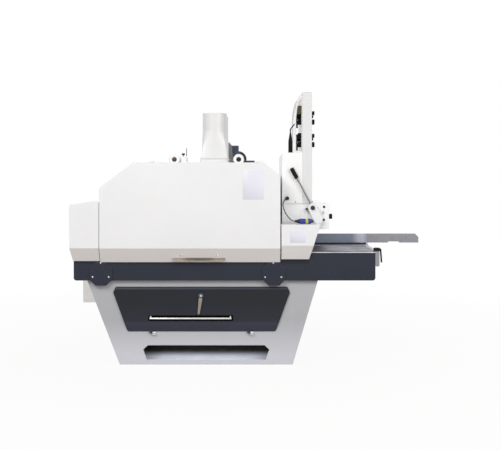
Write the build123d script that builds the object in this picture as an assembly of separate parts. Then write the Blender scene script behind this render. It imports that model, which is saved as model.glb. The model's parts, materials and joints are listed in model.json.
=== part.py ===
from build123d import *
import math
import os

# Multi-rip saw. X runs along the feed with the infeed at +X, Y runs away from the operator's side, Z is up.
# The origin is on the floor at the middle of the base. All sizes are in millimetres.

# Stock thicknesses
base_plate = 8.0
bed_plate = 12.0
sheet = 4.0
table_plate = 10.0

# Clearances
running = 0.05
sliding = 0.3
panel_gap = 4.0
chain_gap = 0.5

# Base
base_height = 606.0
foot_half_x = 620.0
base_left_x = -855.0
base_right_x = 802.0
base_half_y = 470.0
deck_plate = 12.0
anchor_radius = 9.0
anchor_half_x = 540.0
anchor_half_y = 400.0
fork_half_x = 452.0
fork_low_z = 34.0
fork_high_z = 138.0
fork_shoulder = 31.0
fork_top_inset = 33.0
fork_low_inset = 26.0
shelf_half_x = 600.0

# Service door in the base front
service_x = -33.0
service_top_half = 617.0
service_shoulder_half = 633.0
service_low_half = 531.0
service_drop = 47.0
service_shoulder = 41.0
service_height = 320.0
service_top_z = base_height - service_drop
service_shoulder_z = service_top_z - service_shoulder
service_low_z = service_top_z - service_height
service_rim = 34.0
service_thick = 10.0
hinge_radius = 6.0
hinge_pin_radius = 3.0
hinge_length = 44.0
hinge_half_span = 350.0
bar_left_x = -403.0
bar_right_x = 181.0
bar_rise = 95.0
bar_z = service_low_z + bar_rise
bar_radius = 7.0
bar_post_radius = 6.0
bar_standoff = 18.0
bar_upturn = 12.0
tray_half_z = 20.0
latch_x = -37.0
latch_drop = 63.0
latch_z = service_top_z - latch_drop
latch_length = 127.0
latch_lean = 7.3

# Bed and tables
bed_front_y = -500.0
bed_rear_y = 240.0
bed_left_x = -945.0
bed_right_x = 1210.0
bed_height = 208.0
table_z = base_height + bed_height
bed_corner = 20.0

# Feed chain
chain_pitch = 66.8
links_per_run = 18.5
links_per_turn = 8
idler_shaft_x = 485.0
chain_y = -110.0
chain_width = 330.0
slat_outer = 25.7
slat_inner = 12.0
slat_gap = 4.2
slat_taper = 7.0
rib_depth = 4.0
feed_shaft_radius = 25.0
sprocket_offset = 120.0
sprocket_thick = 24.0
wheel_groove = 8.0
wheel_side_gap = 4.0
table_slot = 5.0

# Octagonal covers over the shaft ends
cover_width = 168.0
cover_corner = 46.0
cover_drop = 160.0
cover_z = table_z - cover_drop
cover_thick = 8.0

# Hood and its lift-up door
hood_front_y = -560.0
hood_left_x = -753.0
hood_right_x = 529.0
hood_height = 634.0
hood_overlap = 76.0
hood_bevel_rise = 102.0
hood_bevel_y = 50.0
hood_top_z = table_z + hood_height
hood_low_z = table_z - hood_overlap
hood_bevel_z = hood_low_z + hood_bevel_rise
hood_slope_x = 243.0
hood_slope_z = 181.0
hood_cut_x = 118.0
hood_cut_z = 92.0
door_depth = 58.0
hood_hinge_radius = 7.0
hood_hinge_pin = 3.5
mouth_height = 140.0
mouth_half_y = 200.0

# Outfeed cover and infeed side cover
outfeed_left_x = -965.0
outfeed_height = 350.0
outfeed_overlap = 68.0
cover_overlap = 55.0
outfeed_top_z = table_z + outfeed_height
outfeed_low_z = table_z - outfeed_overlap
cover_low_z = table_z - cover_overlap
outfeed_slope = 15.0
outfeed_toe = 18.0
side_right_x = 812.0
side_low_right_x = 735.0
side_fold_lift = 17.0
side_fold_z = hood_bevel_z + side_fold_lift
side_height = 193.0
side_top_z = table_z + side_height
side_rear_y = -402.0

# Finger housing, infeed hood and console
housing_left_x = 548.0
housing_right_x = 891.0
housing_clear = 151.0
housing_height = 338.0
housing_low_z = table_z + housing_clear
housing_top_z = table_z + housing_height
housing_foot_x = 700.0
housing_slant = 30.0
nose_rise = 22.0
cheek_front_y = -362.0
cheek_rear_y = 232.0
cheek_plate = 12.0
infeed_hood_front_y = -370.0
infeed_hood_rear_y = 230.0
infeed_hood_height = 372.0
infeed_hood_top_z = housing_top_z + infeed_hood_height
infeed_hood_round = 30.0
console_left_x = 697.0
console_right_x = 766.0
console_height = 816.0
console_top_z = housing_top_z + console_height
console_width = 420.0
console_round = 14.0
gusset_reach = 58.0
gusset_plate = 4.0
gusset_rim = 12.0
gusset_drop = 200.0
quarter_round = 0.5523


def block(x0, x1, y0, y1, z0, z1):
    """A box between two corners."""
    size = Box(x1 - x0, y1 - y0, z1 - z0)
    return Pos((x0 + x1) / 2, (y0 + y1) / 2, (z0 + z1) / 2) * size


def rod(start, direction, radius, length):
    """A cylinder from a start point along a direction."""
    low = (Align.CENTER, Align.CENTER, Align.MIN)
    return Plane(origin=start, z_dir=direction) * Cylinder(radius, length, align=low)


def tube(start, direction, radius, bore, length):
    """A hollow cylinder from a start point along a direction."""
    return rod(start, direction, radius, length) - rod(start, direction, bore, length)


def prism_xz(points, y0, y1):
    """An outline in X and Z, drawn out along Y."""
    face = make_face(Polyline([(x, y0, z) for x, z in points], close=True))
    return extrude(face, amount=y1 - y0, dir=(0, 1, 0))


def prism_yz(points, x0, x1):
    """An outline in Y and Z, drawn out along X."""
    face = make_face(Polyline([(x0, y, z) for y, z in points], close=True))
    return extrude(face, amount=x1 - x0, dir=(1, 0, 0))


def group(*shapes):
    """Separate solids kept side by side in one node."""
    solids = [solid for shape in shapes for solid in shape.solids()]
    return Compound(solids)


# Base

def base_side_x(z, side):
    """X of a base end's outer face at a height, on the left (-1) or the right (+1)."""
    top_x = base_left_x if side < 0 else base_right_x
    return side * foot_half_x + (top_x - side * foot_half_x) * z / base_height


def base_outline():
    return [
        (-foot_half_x, 0),
        (foot_half_x, 0),
        (base_right_x, base_height),
        (base_left_x, base_height),
    ]


def fork_outline():
    """The fork opening: widest at its shoulders and drawn in towards the floor like the base."""
    low_half = fork_half_x - fork_low_inset
    top_half = fork_half_x - fork_top_inset
    shoulder_z = fork_high_z - fork_shoulder
    return [
        (-low_half, fork_low_z),
        (low_half, fork_low_z),
        (fork_half_x, shoulder_z),
        (top_half, fork_high_z),
        (-top_half, fork_high_z),
        (-fork_half_x, shoulder_z),
    ]


def service_outline(inset):
    """The service door's outline, or the window behind it when inset."""
    return [
        (service_x - service_low_half + inset, service_low_z + inset),
        (service_x + service_low_half - inset, service_low_z + inset),
        (service_x + service_shoulder_half - inset, service_shoulder_z),
        (service_x + service_top_half - inset, service_top_z - inset),
        (service_x - service_top_half + inset, service_top_z - inset),
        (service_x - service_shoulder_half + inset, service_shoulder_z),
    ]


service_hinge_y = -base_half_y - service_thick - hinge_radius
service_hinge_z = service_low_z - hinge_radius - sliding


def base_front():
    plate = prism_xz(base_outline(), -base_half_y, -base_half_y + base_plate)
    plate -= prism_xz(fork_outline(), -base_half_y, -base_half_y + base_plate)
    plate -= prism_xz(service_outline(service_rim), -base_half_y, -base_half_y + base_plate)
    for side in (-1, 1):
        x = service_x + side * hinge_half_span
        plate += service_hinge_leaf(x)
    return plate


def service_hinge_leaf(x):
    """Fixed half of a service door hinge: a leaf on the base front with a welded pin."""
    length = hinge_length / 2
    leaf_low = service_hinge_z - 3 * hinge_radius
    leaf = block(x, x + length, service_hinge_y, -base_half_y, leaf_low, service_hinge_z)
    knuckle = rod((x, service_hinge_y, service_hinge_z), (1, 0, 0), hinge_radius, length)
    pin = rod((x - length, service_hinge_y, service_hinge_z), (1, 0, 0), hinge_pin_radius, length)
    return leaf + knuckle + pin


def base_back():
    plate = prism_xz(base_outline(), base_half_y - base_plate, base_half_y)
    return plate - prism_xz(fork_outline(), base_half_y - base_plate, base_half_y)


def base_end(side):
    inner = side * base_plate
    points = [
        (side * foot_half_x, 0),
        (base_side_x(base_height, side), base_height),
        (base_side_x(base_height, side) - inner, base_height),
        (side * foot_half_x - inner, 0),
    ]
    return prism_xz(points, base_plate - base_half_y, base_half_y - base_plate)


def base_walls():
    return group(base_back(), base_end(-1), base_end(1))


def base_decks():
    """Floor plate with the anchor holes, and the shelf that carries the column and the bed."""
    deck_half = foot_half_x - base_plate
    inner_y = base_half_y - base_plate
    floor = block(-deck_half, deck_half, -inner_y, inner_y, 0, deck_plate)
    for x in (-anchor_half_x, anchor_half_x):
        for y in (-anchor_half_y, anchor_half_y):
            floor -= rod((x, y, 0), (0, 0, 1), anchor_radius, deck_plate)
    shelf_front = bed_rear_y - 4 * bed_plate
    shelf = block(-shelf_half_x, shelf_half_x, shelf_front, inner_y, base_height - deck_plate, base_height)
    return group(floor, shelf)


# Bed and tables

bed_top_z = table_z - table_plate
pitch_radius = links_per_turn * chain_pitch / (2 * math.pi)
shaft_z = table_z - pitch_radius - slat_outer
shaft_distance = links_per_run * chain_pitch
drive_shaft_x = idler_shaft_x - shaft_distance
chain_front_y = chain_y - chain_width / 2
chain_rear_y = chain_y + chain_width / 2
chain_outer = pitch_radius + slat_outer
chain_inner = pitch_radius - slat_inner
shaft_xs = (drive_shaft_x, idler_shaft_x)


def bed_side(y):
    """A long bed side plate with rounded lower corners and the two shaft bores."""
    plate = block(bed_left_x, bed_right_x, y, y + bed_plate, base_height, bed_top_z)
    corners = plate.edges().filter_by(Axis.Y).group_by(Axis.Z)[0]
    plate = fillet(corners, bed_corner)
    for x in shaft_xs:
        plate -= rod((x, y, shaft_z), (0, 1, 0), feed_shaft_radius + running, bed_plate)
    return plate


def bed_front_plate():
    return bed_side(bed_front_y)


cross_xs = (-560.0, -95.0, 330.0)
cross_rise = 45.0
cross_high_z = shaft_z + cross_rise
rail_offset = 75.0
rail_half_y = 20.0


def cross_plate(x):
    """A bed cross plate, cut out below for the chain's return run."""
    inner_front = bed_front_y + bed_plate
    inner_rear = bed_rear_y - bed_plate
    plate = block(x, x + bed_plate, inner_front, inner_rear, base_height, cross_high_z)
    cut_high = shaft_z - chain_inner + 4 * chain_gap
    return plate - block(
        x, x + bed_plate, chain_front_y - table_slot, chain_rear_y + table_slot, base_height, cut_high
    )


def bed_end(x):
    inner_front = bed_front_y + bed_plate
    inner_rear = bed_rear_y - bed_plate
    return block(x, x + bed_plate, inner_front, inner_rear, base_height + bed_corner, bed_top_z)


def chain_rail(y):
    x0 = drive_shaft_x + chain_outer
    x1 = idler_shaft_x - chain_outer
    return block(x0, x1, y - rail_half_y, y + rail_half_y, cross_high_z, shaft_z + chain_inner - chain_gap)


def bed_frame():
    crosses = [cross_plate(x) for x in cross_xs]
    ends = [bed_end(bed_left_x), bed_end(bed_right_x - bed_plate)]
    rails = [chain_rail(chain_y - rail_offset), chain_rail(chain_y + rail_offset)]
    return group(bed_side(bed_rear_y - bed_plate), *crosses, *ends, *rails)


infeed_table_x = idler_shaft_x + chain_outer + table_slot
outfeed_lip_x = drive_shaft_x - chain_outer - table_slot


def tables():
    """Table strips before and behind the chain, the lip past its outfeed end and the infeed table."""
    front_edge = chain_front_y - table_slot
    rear_edge = chain_rear_y + table_slot
    front = block(bed_left_x, infeed_table_x, bed_front_y, front_edge, bed_top_z, table_z)
    rear = block(bed_left_x, infeed_table_x, rear_edge, bed_rear_y, bed_top_z, table_z)
    lip = block(bed_left_x, outfeed_lip_x, front_edge, rear_edge, bed_top_z, table_z)
    infeed = block(infeed_table_x, bed_right_x, bed_front_y, bed_rear_y, bed_top_z, table_z)
    return group(front, rear, lip, infeed)


# Feed chain and its shafts

def slat():
    """One chain slat at the origin, with ribs across its top and a groove below for each chain wheel."""
    half = (chain_pitch - slat_gap) / 2
    low_half = half - slat_taper
    low = slat_outer - rib_depth
    rib = half / 2
    outline = [
        (-low_half, -slat_inner),
        (low_half, -slat_inner),
        (half, 0),
        (half, slat_outer),
        (rib, slat_outer),
        (rib, low),
        (rib / 2, low),
        (rib / 2, slat_outer),
        (-rib / 2, slat_outer),
        (-rib / 2, low),
        (-rib, low),
        (-rib, slat_outer),
        (-half, slat_outer),
        (-half, 0),
    ]
    body = prism_xz(outline, chain_front_y, chain_rear_y)
    groove_half = sprocket_thick / 2 + wheel_side_gap
    for side in (-1, 1):
        y = chain_y + side * sprocket_offset
        body -= block(-half, half, y - groove_half, y + groove_half, -slat_inner, wheel_groove - slat_inner)
    return body


def slat_place(step):
    """Where a slat sits on the loop, in links from the start of the top run."""
    turn_links = links_per_turn / 2
    if step < links_per_run:
        return Pos(drive_shaft_x + step * chain_pitch, 0, shaft_z + pitch_radius)
    step -= links_per_run
    if step < turn_links:
        angle = 360 * step / links_per_turn
        return Pos(idler_shaft_x, 0, shaft_z) * Rot(0, angle, 0) * Pos(0, 0, pitch_radius)
    step -= turn_links
    if step < links_per_run:
        return Pos(idler_shaft_x - step * chain_pitch, 0, shaft_z - pitch_radius) * Rot(0, 180, 0)
    step -= links_per_run
    angle = 180 + 360 * step / links_per_turn
    return Pos(drive_shaft_x, 0, shaft_z) * Rot(0, angle, 0) * Pos(0, 0, pitch_radius)


def feed_chain():
    links = int(2 * links_per_run + links_per_turn)
    link = slat()
    return group(*[slat_place(i + 0.5) * link for i in range(links)])


tooth_reach = 5.0
tooth_foot = 12.0
tooth_tip = chain_inner + tooth_reach
tooth_root = chain_inner - tooth_foot
tooth_half = 4.5


def sprocket(x, y, phase):
    """A chain wheel whose teeth stand in the gaps between slats."""
    half = tooth_half
    tip = half / 2
    wheel = tube((x, y, shaft_z), (0, 1, 0), tooth_root, feed_shaft_radius + running, sprocket_thick)
    tooth = prism_xz(
        [(-half, tooth_root - half), (half, tooth_root - half), (tip, tooth_tip), (-tip, tooth_tip)],
        y,
        y + sprocket_thick,
    )
    for i in range(links_per_turn):
        angle = phase + 360 * i / links_per_turn
        wheel += Pos(x, 0, shaft_z) * Rot(0, angle, 0) * tooth
    return wheel


def feed_shaft(x, phase, rear_y):
    """A feed shaft with its pair of chain wheels."""
    front_y = bed_front_y + bed_plate / 4
    shaft = rod((x, front_y, shaft_z), (0, 1, 0), feed_shaft_radius, rear_y - front_y)
    wheels = [
        sprocket(x, chain_y + side * sprocket_offset - sprocket_thick / 2, phase) for side in (-1, 1)
    ]
    return group(shaft, *wheels)


half_link_turn = 180 / links_per_turn
gearbox_depth = 140.0
gearbox_bore_depth = 105.0
gearbox_half_x = 62.0
gearbox_half_z = 80.0
feed_motor_radius = 60.0
feed_motor_length = 250.0
feed_fin_count = 5
feed_fin_start = 50.0
feed_fin_pitch = 30.0
feed_fin_thick = 12.5
feed_fin_radius = 63.6


def drive_shaft():
    return feed_shaft(drive_shaft_x, 0, bed_rear_y + gearbox_depth / 2)


def idler_shaft():
    return feed_shaft(idler_shaft_x, half_link_turn, bed_rear_y + bed_plate)


def feed_gearmotor():
    """Worm gearbox on the rear bed plate with its motor lying along X."""
    x0 = drive_shaft_x - gearbox_half_x
    x1 = drive_shaft_x + gearbox_half_x
    y1 = bed_rear_y + gearbox_depth
    box = block(x0, x1, bed_rear_y, y1, shaft_z - gearbox_half_z, shaft_z + gearbox_half_z)
    box = chamfer(box.edges().filter_by(Axis.Y), gearbox_half_x / 5)
    bore = feed_shaft_radius + running
    box -= rod((drive_shaft_x, bed_rear_y, shaft_z), (0, 1, 0), bore, gearbox_bore_depth)
    motor_y = bed_rear_y + gearbox_depth / 2
    motor = rod((x1, motor_y, shaft_z), (1, 0, 0), feed_motor_radius, feed_motor_length)
    motor = fillet(motor.edges().group_by(Axis.X)[-1], feed_motor_radius / 6)
    for i in range(feed_fin_count):
        fin_x = x1 + feed_fin_start + i * feed_fin_pitch
        motor += rod((fin_x, motor_y, shaft_z), (1, 0, 0), feed_fin_radius, feed_fin_thick)
    return group(box, motor)


def shaft_cover(x):
    half = cover_width / 2
    inner = half - cover_corner
    points = [(-inner, -half), (inner, -half), (half, -inner), (half, inner)]
    points += [(-px, -pz) for px, pz in points]
    outline = [(x + px, cover_z + pz) for px, pz in points]
    plate = prism_xz(outline, bed_front_y - cover_thick, bed_front_y)
    return chamfer(plate.faces().sort_by(Axis.Y)[0].edges(), cover_thick / 4)


def shaft_covers():
    return group(*[shaft_cover(x) for x in shaft_xs])


# Hood weldment and lift-up door

hood_shell_front_y = hood_front_y + door_depth + panel_gap
hood_rear_y = bed_rear_y - sheet
hood_hinge_y = hood_shell_front_y - panel_gap / 2
hood_hinge_gap = 1.0
hood_hinge_z = hood_top_z + hood_hinge_radius + hood_hinge_gap
hood_hinge_xs = (-400.0, 346.0)
hood_knuckle = 30.0

# Arbor, column and beams share these axes
arbor_x = -30.0
arbor_height = 160.0
arbor_z = table_z + arbor_height
portal_half = 180.0
post_width = 120.0
column_gap = 12.0
column_front_y = bed_rear_y + column_gap
column_depth = 140.0
column_height = 808.0
column_top_z = base_height + column_height
beam_height = 70.0
quill_radius = 56.0
lift_travel = 60.0
window_margin = 18.0
beam_travel = 80.0
post_xs = (arbor_x - portal_half - post_width / 2, arbor_x + portal_half + post_width / 2)
arm_half = 30.0
arm_rise = 130.0
arm_height = 70.0
arm_low_z = table_z + arm_rise
arm_high_z = arm_low_z + arm_height
dust_x = 52.0
dust_ys = (-237.0, 110.0)
dust_hole = 170.0


def chamfer_scale(run, rise, inset):
    """How much a corner cut shrinks or grows when an outline is set inwards."""
    return 1 + inset * (math.hypot(1 / run, 1 / rise) - 1 / run - 1 / rise)


def hood_outline(low_z, inset):
    """The hood in X and Z: a long slope on the outfeed side, a short corner cut on the infeed side."""
    left = hood_left_x + inset
    right = hood_right_x - inset
    top = hood_top_z - inset
    slope = chamfer_scale(hood_slope_x, hood_slope_z, inset)
    cut = chamfer_scale(hood_cut_x, hood_cut_z, inset)
    return [
        (left, low_z),
        (right, low_z),
        (right, top - cut * hood_cut_z),
        (right - cut * hood_cut_x, top),
        (left + slope * hood_slope_x, top),
        (left, top - slope * hood_slope_z),
    ]


def below_bevel(shape, inset, fold_z=hood_bevel_z):
    """Cuts the lower front edge back along the bevel of the front covers."""
    rise = fold_z - hood_low_z
    shift = inset * math.hypot(hood_bevel_y, rise) / rise
    front = hood_front_y + shift
    low_z = hood_low_z - rise
    points = [
        (front - hood_bevel_y, fold_z + rise),
        (front + 2 * hood_bevel_y, low_z),
        (front - 3 * hood_bevel_y, low_z),
    ]
    box = shape.bounding_box()
    return shape - prism_yz(points, box.min.X - sheet, box.max.X + sheet)


def hood_door():
    """Lift-up door: a folded tray with a bevelled lower front, hung on two lift-off hinges."""
    rear = hood_front_y + door_depth
    outer = below_bevel(prism_xz(hood_outline(hood_low_z, 0), hood_front_y, rear), 0)
    hollow = prism_xz(hood_outline(hood_low_z + sheet, sheet), hood_front_y + sheet, rear)
    door = outer - below_bevel(hollow, sheet)
    for x in hood_hinge_xs:
        start = (x + hood_knuckle + sliding, hood_hinge_y, hood_hinge_z)
        length = hood_knuckle - sliding
        leaf = block(
            start[0], start[0] + length, hood_hinge_y - 2 * hood_hinge_radius, rear, hood_top_z, hood_hinge_z
        )
        leaf += rod(start, (1, 0, 0), hood_hinge_radius, length)
        leaf -= rod(start, (1, 0, 0), hood_hinge_pin + running, length)
        door += leaf
    return door


def hood_hinge_fixed(x):
    leaf_rear = hood_hinge_y + 2 * hood_hinge_radius
    leaf = block(x, x + hood_knuckle, hood_shell_front_y, leaf_rear, hood_top_z, hood_hinge_z)
    leaf += rod((x, hood_hinge_y, hood_hinge_z), (1, 0, 0), hood_hinge_radius, hood_knuckle)
    return leaf + rod((x, hood_hinge_y, hood_hinge_z), (1, 0, 0), hood_hinge_pin, 2 * hood_knuckle)


def mitred_walls(outer, inner, y0, y1):
    """Flat plates between two matching outlines, one for each side after the first."""
    walls = []
    count = len(outer)
    for i in range(1, count):
        after = (i + 1) % count
        walls.append(prism_xz([outer[i], outer[after], inner[after], inner[i]], y0, y1))
    return walls


def hood_shell():
    """Roof, end walls and back wall, welded from plates and standing on the tables."""
    back = hood_rear_y - sheet
    outer = hood_outline(table_z, 0)
    inner = hood_outline(table_z, sheet)
    right, corner, roof, slope, left = mitred_walls(outer, inner, hood_shell_front_y, back)
    mouth_top = table_z + mouth_height
    mouth_front = chain_y - mouth_half_y
    mouth_rear = chain_y + mouth_half_y
    mouth = block(hood_left_x, hood_right_x, mouth_front, mouth_rear, table_z, mouth_top)
    right -= mouth
    left -= mouth
    for y in dust_ys:
        half = dust_hole / 2
        roof -= block(dust_x - half, dust_x + half, y - half, y + half, hood_top_z - sheet, hood_top_z)
    for x in hood_hinge_xs:
        roof += hood_hinge_fixed(x)
    return group(right, corner, roof, slope, left, *hood_back(outer, back))


def hood_back(outline, back):
    """Back wall panels round the quill window and the two beam slots, which share one height."""
    reach = quill_radius + window_margin
    slot_half = arm_half + window_margin
    low_z = arbor_z - reach
    high_z = max(arbor_z + reach + lift_travel, arm_high_z + window_margin + beam_travel)
    edges = [hood_left_x]
    for x, half in ((post_xs[0], slot_half), (arbor_x, reach), (post_xs[1], slot_half)):
        edges += [x - half, x + half]
    edges.append(hood_right_x)
    wall = prism_xz(outline, back, hood_rear_y)
    lower = block(hood_left_x, hood_right_x, back, hood_rear_y, table_z, low_z)
    upper = wall & block(hood_left_x, hood_right_x, back, hood_rear_y, high_z, hood_top_z)
    posts = [block(*edges[i : i + 2], back, hood_rear_y, low_z, high_z) for i in range(0, len(edges), 2)]
    return [lower, upper, *posts]


handle_left_x = -240.0
handle_right_x = 137.0
handle_plate = 4.0
handle_reach = 12.0
handle_grip = 24.0
handle_lift = 25.0


def door_handle():
    """A bent strip on the door's lower bevel, turned out at its foot for the fingers."""
    rise = hood_bevel_z - hood_low_z
    length = math.hypot(hood_bevel_y, rise)
    along_y = hood_bevel_y / length
    along_z = -rise / length
    out_y = along_z
    out_z = -along_y
    end_y = hood_front_y + hood_bevel_y - along_y * handle_lift
    end_z = hood_low_z - along_z * handle_lift
    start_y = end_y - along_y * handle_reach
    start_z = end_z - along_z * handle_reach
    up_y = along_y * handle_plate
    up_z = along_z * handle_plate
    lip_y = end_y + out_y * handle_grip
    lip_z = end_z + out_z * handle_grip
    strip = [
        (start_y, start_z),
        (end_y, end_z),
        (lip_y, lip_z),
        (lip_y - up_y, lip_z - up_z),
        (end_y + out_y * handle_plate - up_y, end_z + out_z * handle_plate - up_z),
        (start_y + out_y * handle_plate, start_z + out_z * handle_plate),
    ]
    return prism_yz(strip, handle_left_x, handle_right_x)


# Outfeed cover and infeed side cover

cover_tab = 80.0
cover_tab_height = 24.0


def bevel_y(z, inset, fold_z):
    """Y of a cover's front bevel at a height, set inwards by an amount."""
    rise = fold_z - hood_low_z
    shift = inset * math.hypot(hood_bevel_y, rise) / rise
    return hood_front_y + shift + hood_bevel_y * (fold_z - z) / rise


def cover_bracket(x, inset, fold_z):
    """A tab that carries a cover on the front of the bed plate."""
    low_z = cover_low_z + sheet
    high_z = low_z + cover_tab_height
    middle = inset + sheet / 2
    points = [
        (bevel_y(low_z, middle, fold_z), low_z),
        (bed_front_y, low_z),
        (bed_front_y, high_z),
        (bevel_y(high_z, middle, fold_z), high_z),
    ]
    return prism_yz(points, x, x + cover_tab)


def outfeed_outline(inset):
    right = hood_left_x - panel_gap
    left = outfeed_left_x + inset
    top = outfeed_top_z - inset
    return [
        (left + outfeed_toe, outfeed_low_z),
        (right, outfeed_low_z),
        (right, top),
        (left, top - outfeed_slope),
        (left, hood_bevel_z),
    ]


def outfeed_cover():
    """Sheet cover over the outfeed end, open below, standing on the rear table and hung on the bed front."""
    inset = panel_gap
    front = hood_front_y + inset
    skirt = bed_front_y - panel_gap
    outer = outfeed_outline(0)
    face = below_bevel(prism_xz(outer, front, skirt), inset)
    face -= below_bevel(prism_xz(outer, front + sheet, skirt), inset + sheet)
    face += cover_bracket(bed_left_x + cover_tab / 2, inset, hood_bevel_z)
    back = hood_rear_y - sheet
    _, roof, end, toe = mitred_walls(outer, outfeed_outline(sheet), front + sheet, back)
    under = block(outfeed_left_x, hood_left_x, skirt, hood_rear_y, outfeed_low_z, table_z)
    mouth_top = table_z + mouth_height
    mouth = block(
        outfeed_left_x, hood_left_x, chain_y - mouth_half_y, chain_y + mouth_half_y, table_z, mouth_top
    )
    end = below_bevel(end, inset + sheet) - under - mouth
    toe = below_bevel(toe, inset + sheet) - under - mouth
    rear = prism_xz(outer, back, hood_rear_y) - under
    return group(face, roof, end, toe, rear)


def side_outline(low_z, inset):
    left = hood_right_x + 2 * panel_gap + inset
    rise = side_top_z - cover_low_z
    lean = (side_right_x - side_low_right_x) / rise
    return [
        (left, low_z),
        (side_low_right_x - inset + lean * (low_z - cover_low_z), low_z),
        (side_right_x - inset * (1 + lean), side_top_z - inset),
        (left, side_top_z - inset),
    ]


def infeed_side_cover():
    """Box cover with a slanted infeed edge, open behind, carried on the bed front."""
    front = hood_front_y + 2 * panel_gap
    outer = prism_xz(side_outline(cover_low_z, 0), front, side_rear_y)
    outer = below_bevel(outer, 2 * panel_gap, side_fold_z)
    hollow = prism_xz(side_outline(cover_low_z - sheet, sheet), front + sheet, side_rear_y)
    cover = outer - below_bevel(hollow, 2 * panel_gap + sheet, side_fold_z)
    skirt = bed_front_y - panel_gap
    cover -= block(hood_right_x, side_right_x, skirt, side_rear_y, cover_low_z - sheet, table_z)
    return cover + cover_bracket(hood_right_x + cover_tab / 2, 2 * panel_gap, side_fold_z)


# Finger housing, infeed hood and console

lever_x = 770.0
lever_drop = 30.0
lever_z = housing_top_z - lever_drop
lever_shaft_radius = 12.0
finger_shaft_x = 690.0
finger_height = 200.0
finger_shaft_z = table_z + finger_height
finger_shaft_radius = 15.0
finger_reach_x = 60.0
finger_clear = 15.0
finger_tip_z = table_z + finger_clear
finger_thick = 17.0
finger_gap = 3.0
finger_count = 16


def cheek(y):
    """A side cheek of the finger housing, its foot on the table and its nose over the infeed."""
    points = [
        (housing_left_x, table_z),
        (housing_foot_x, table_z),
        (housing_foot_x + housing_slant, housing_low_z),
        (housing_right_x, housing_low_z),
        (housing_right_x, housing_top_z),
        (housing_left_x, housing_top_z),
    ]
    plate = prism_xz(points, y, y + cheek_plate)
    plate -= rod((lever_x, y, lever_z), (0, 1, 0), lever_shaft_radius + running, cheek_plate)
    bore = finger_shaft_radius + running
    return plate - rod((finger_shaft_x, y, finger_shaft_z), (0, 1, 0), bore, cheek_plate)


def finger_housing():
    inner_front = cheek_front_y + cheek_plate
    inner_rear = cheek_rear_y - cheek_plate
    roof_low = housing_top_z - cheek_plate
    roof = block(housing_left_x, housing_right_x, inner_front, inner_rear, roof_low, housing_top_z)
    end_x = housing_right_x - cheek_plate
    end = block(end_x, housing_right_x, inner_front, inner_rear, housing_low_z, roof_low)
    end -= rod((end_x, star_y, star_z), (1, 0, 0), star_stud + running, cheek_plate)
    cheeks = [cheek(cheek_front_y), cheek(cheek_rear_y - cheek_plate)]
    cap_x = console_right_x + panel_gap
    cap = [(cap_x, housing_top_z), (housing_right_x, housing_top_z), (cap_x, housing_top_z + nose_rise)]
    return group(*cheeks, roof, end, prism_xz(cap, cheek_front_y, cheek_rear_y), finger_shaft(), cam_bumper())


shell_flange = 25.0


def open_box(outer, x, y, z):
    """Hollows a sheet box and leaves a turned-in flange round its open foot."""
    outer -= block(x[0] + sheet, x[1] - sheet, y[0] + sheet, y[1] - sheet, z[0] + sheet, z[1] - sheet)
    return outer - block(
        x[0] + shell_flange, x[1] - shell_flange, y[0] + shell_flange, y[1] - shell_flange, z[0], z[0] + sheet
    )


def infeed_hood():
    x = (housing_left_x, console_left_x)
    y = (infeed_hood_front_y, infeed_hood_rear_y)
    z = (housing_top_z, infeed_hood_top_z)
    outer = block(*x, *y, *z)
    top_left = outer.edges().filter_by(Axis.Y).group_by(Axis.Z)[-1].sort_by(Axis.X)[0]
    return open_box(fillet(top_left, infeed_hood_round), x, y, z)


console_set_in = 2.0
console_front_y = infeed_hood_front_y + console_set_in
console_rear_y = console_front_y + console_width
upper_row_drop = 188.0
row_pitch = 169.0
upper_row_z = console_top_z - upper_row_drop
lower_row_z = upper_row_z - row_pitch
button_pitch = 44.0
button_bore = 11.0


def console_panel():
    x = (console_left_x, console_right_x)
    y = (console_front_y, console_rear_y)
    z = (housing_top_z, console_top_z)
    outer = block(*x, *y, *z)
    top_edges = outer.edges().filter_by(Axis.X).group_by(Axis.Z)[-1]
    panel = open_box(fillet(top_edges, console_round), x, y, z)
    for device_y, device_z in device_places().values():
        panel -= rod((console_right_x - sheet, device_y, device_z), (1, 0, 0), button_bore + running, sheet)
    gussets = [console_gusset(gusset_y) for gusset_y in (y[0] + sheet, y[1] - sheet - gusset_plate)]
    return group(panel, *gussets)


def device_places():
    """Where the control heads stand: a selector, a push button and a mushroom head in two groups."""
    left_y = console_front_y + console_width / 2 - button_pitch
    right_y = left_y + button_pitch
    places = {}
    for row, z in (("upper", upper_row_z), ("lower", lower_row_z)):
        places[f"{row}_selector"] = (left_y, z + button_pitch)
        places[f"{row}_button"] = (right_y, z + button_pitch / 2)
        places[f"{row}_mushroom"] = (left_y, z - button_pitch / 2)
    return places


def gusset_face(y, rim):
    """A gusset's outline, or its window when set in by a rim: a quarter-round top over a straight back."""
    low = infeed_hood_top_z + rim
    top = console_top_z - console_round - 3 * rim
    right = console_left_x - rim / 2
    back = console_left_x - gusset_reach + rim
    waist = console_top_z - console_round - gusset_drop - rim
    curve = Bezier(
        (right, y, top),
        (right - quarter_round * (right - back), y, top),
        (back, y, waist + quarter_round * (top - waist)),
        (back, y, waist),
    )
    sides = Polyline((back, y, waist), (back, y, low), (right, y, low), (right, y, top))
    return make_face([curve, sides])


def console_gusset(y):
    """A curved gusset behind the console with a window that leaves a rim."""
    plate = extrude(gusset_face(y, 0), amount=gusset_plate, dir=(0, 1, 0))
    return plate - extrude(gusset_face(y, gusset_rim), amount=gusset_plate, dir=(0, 1, 0))


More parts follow.
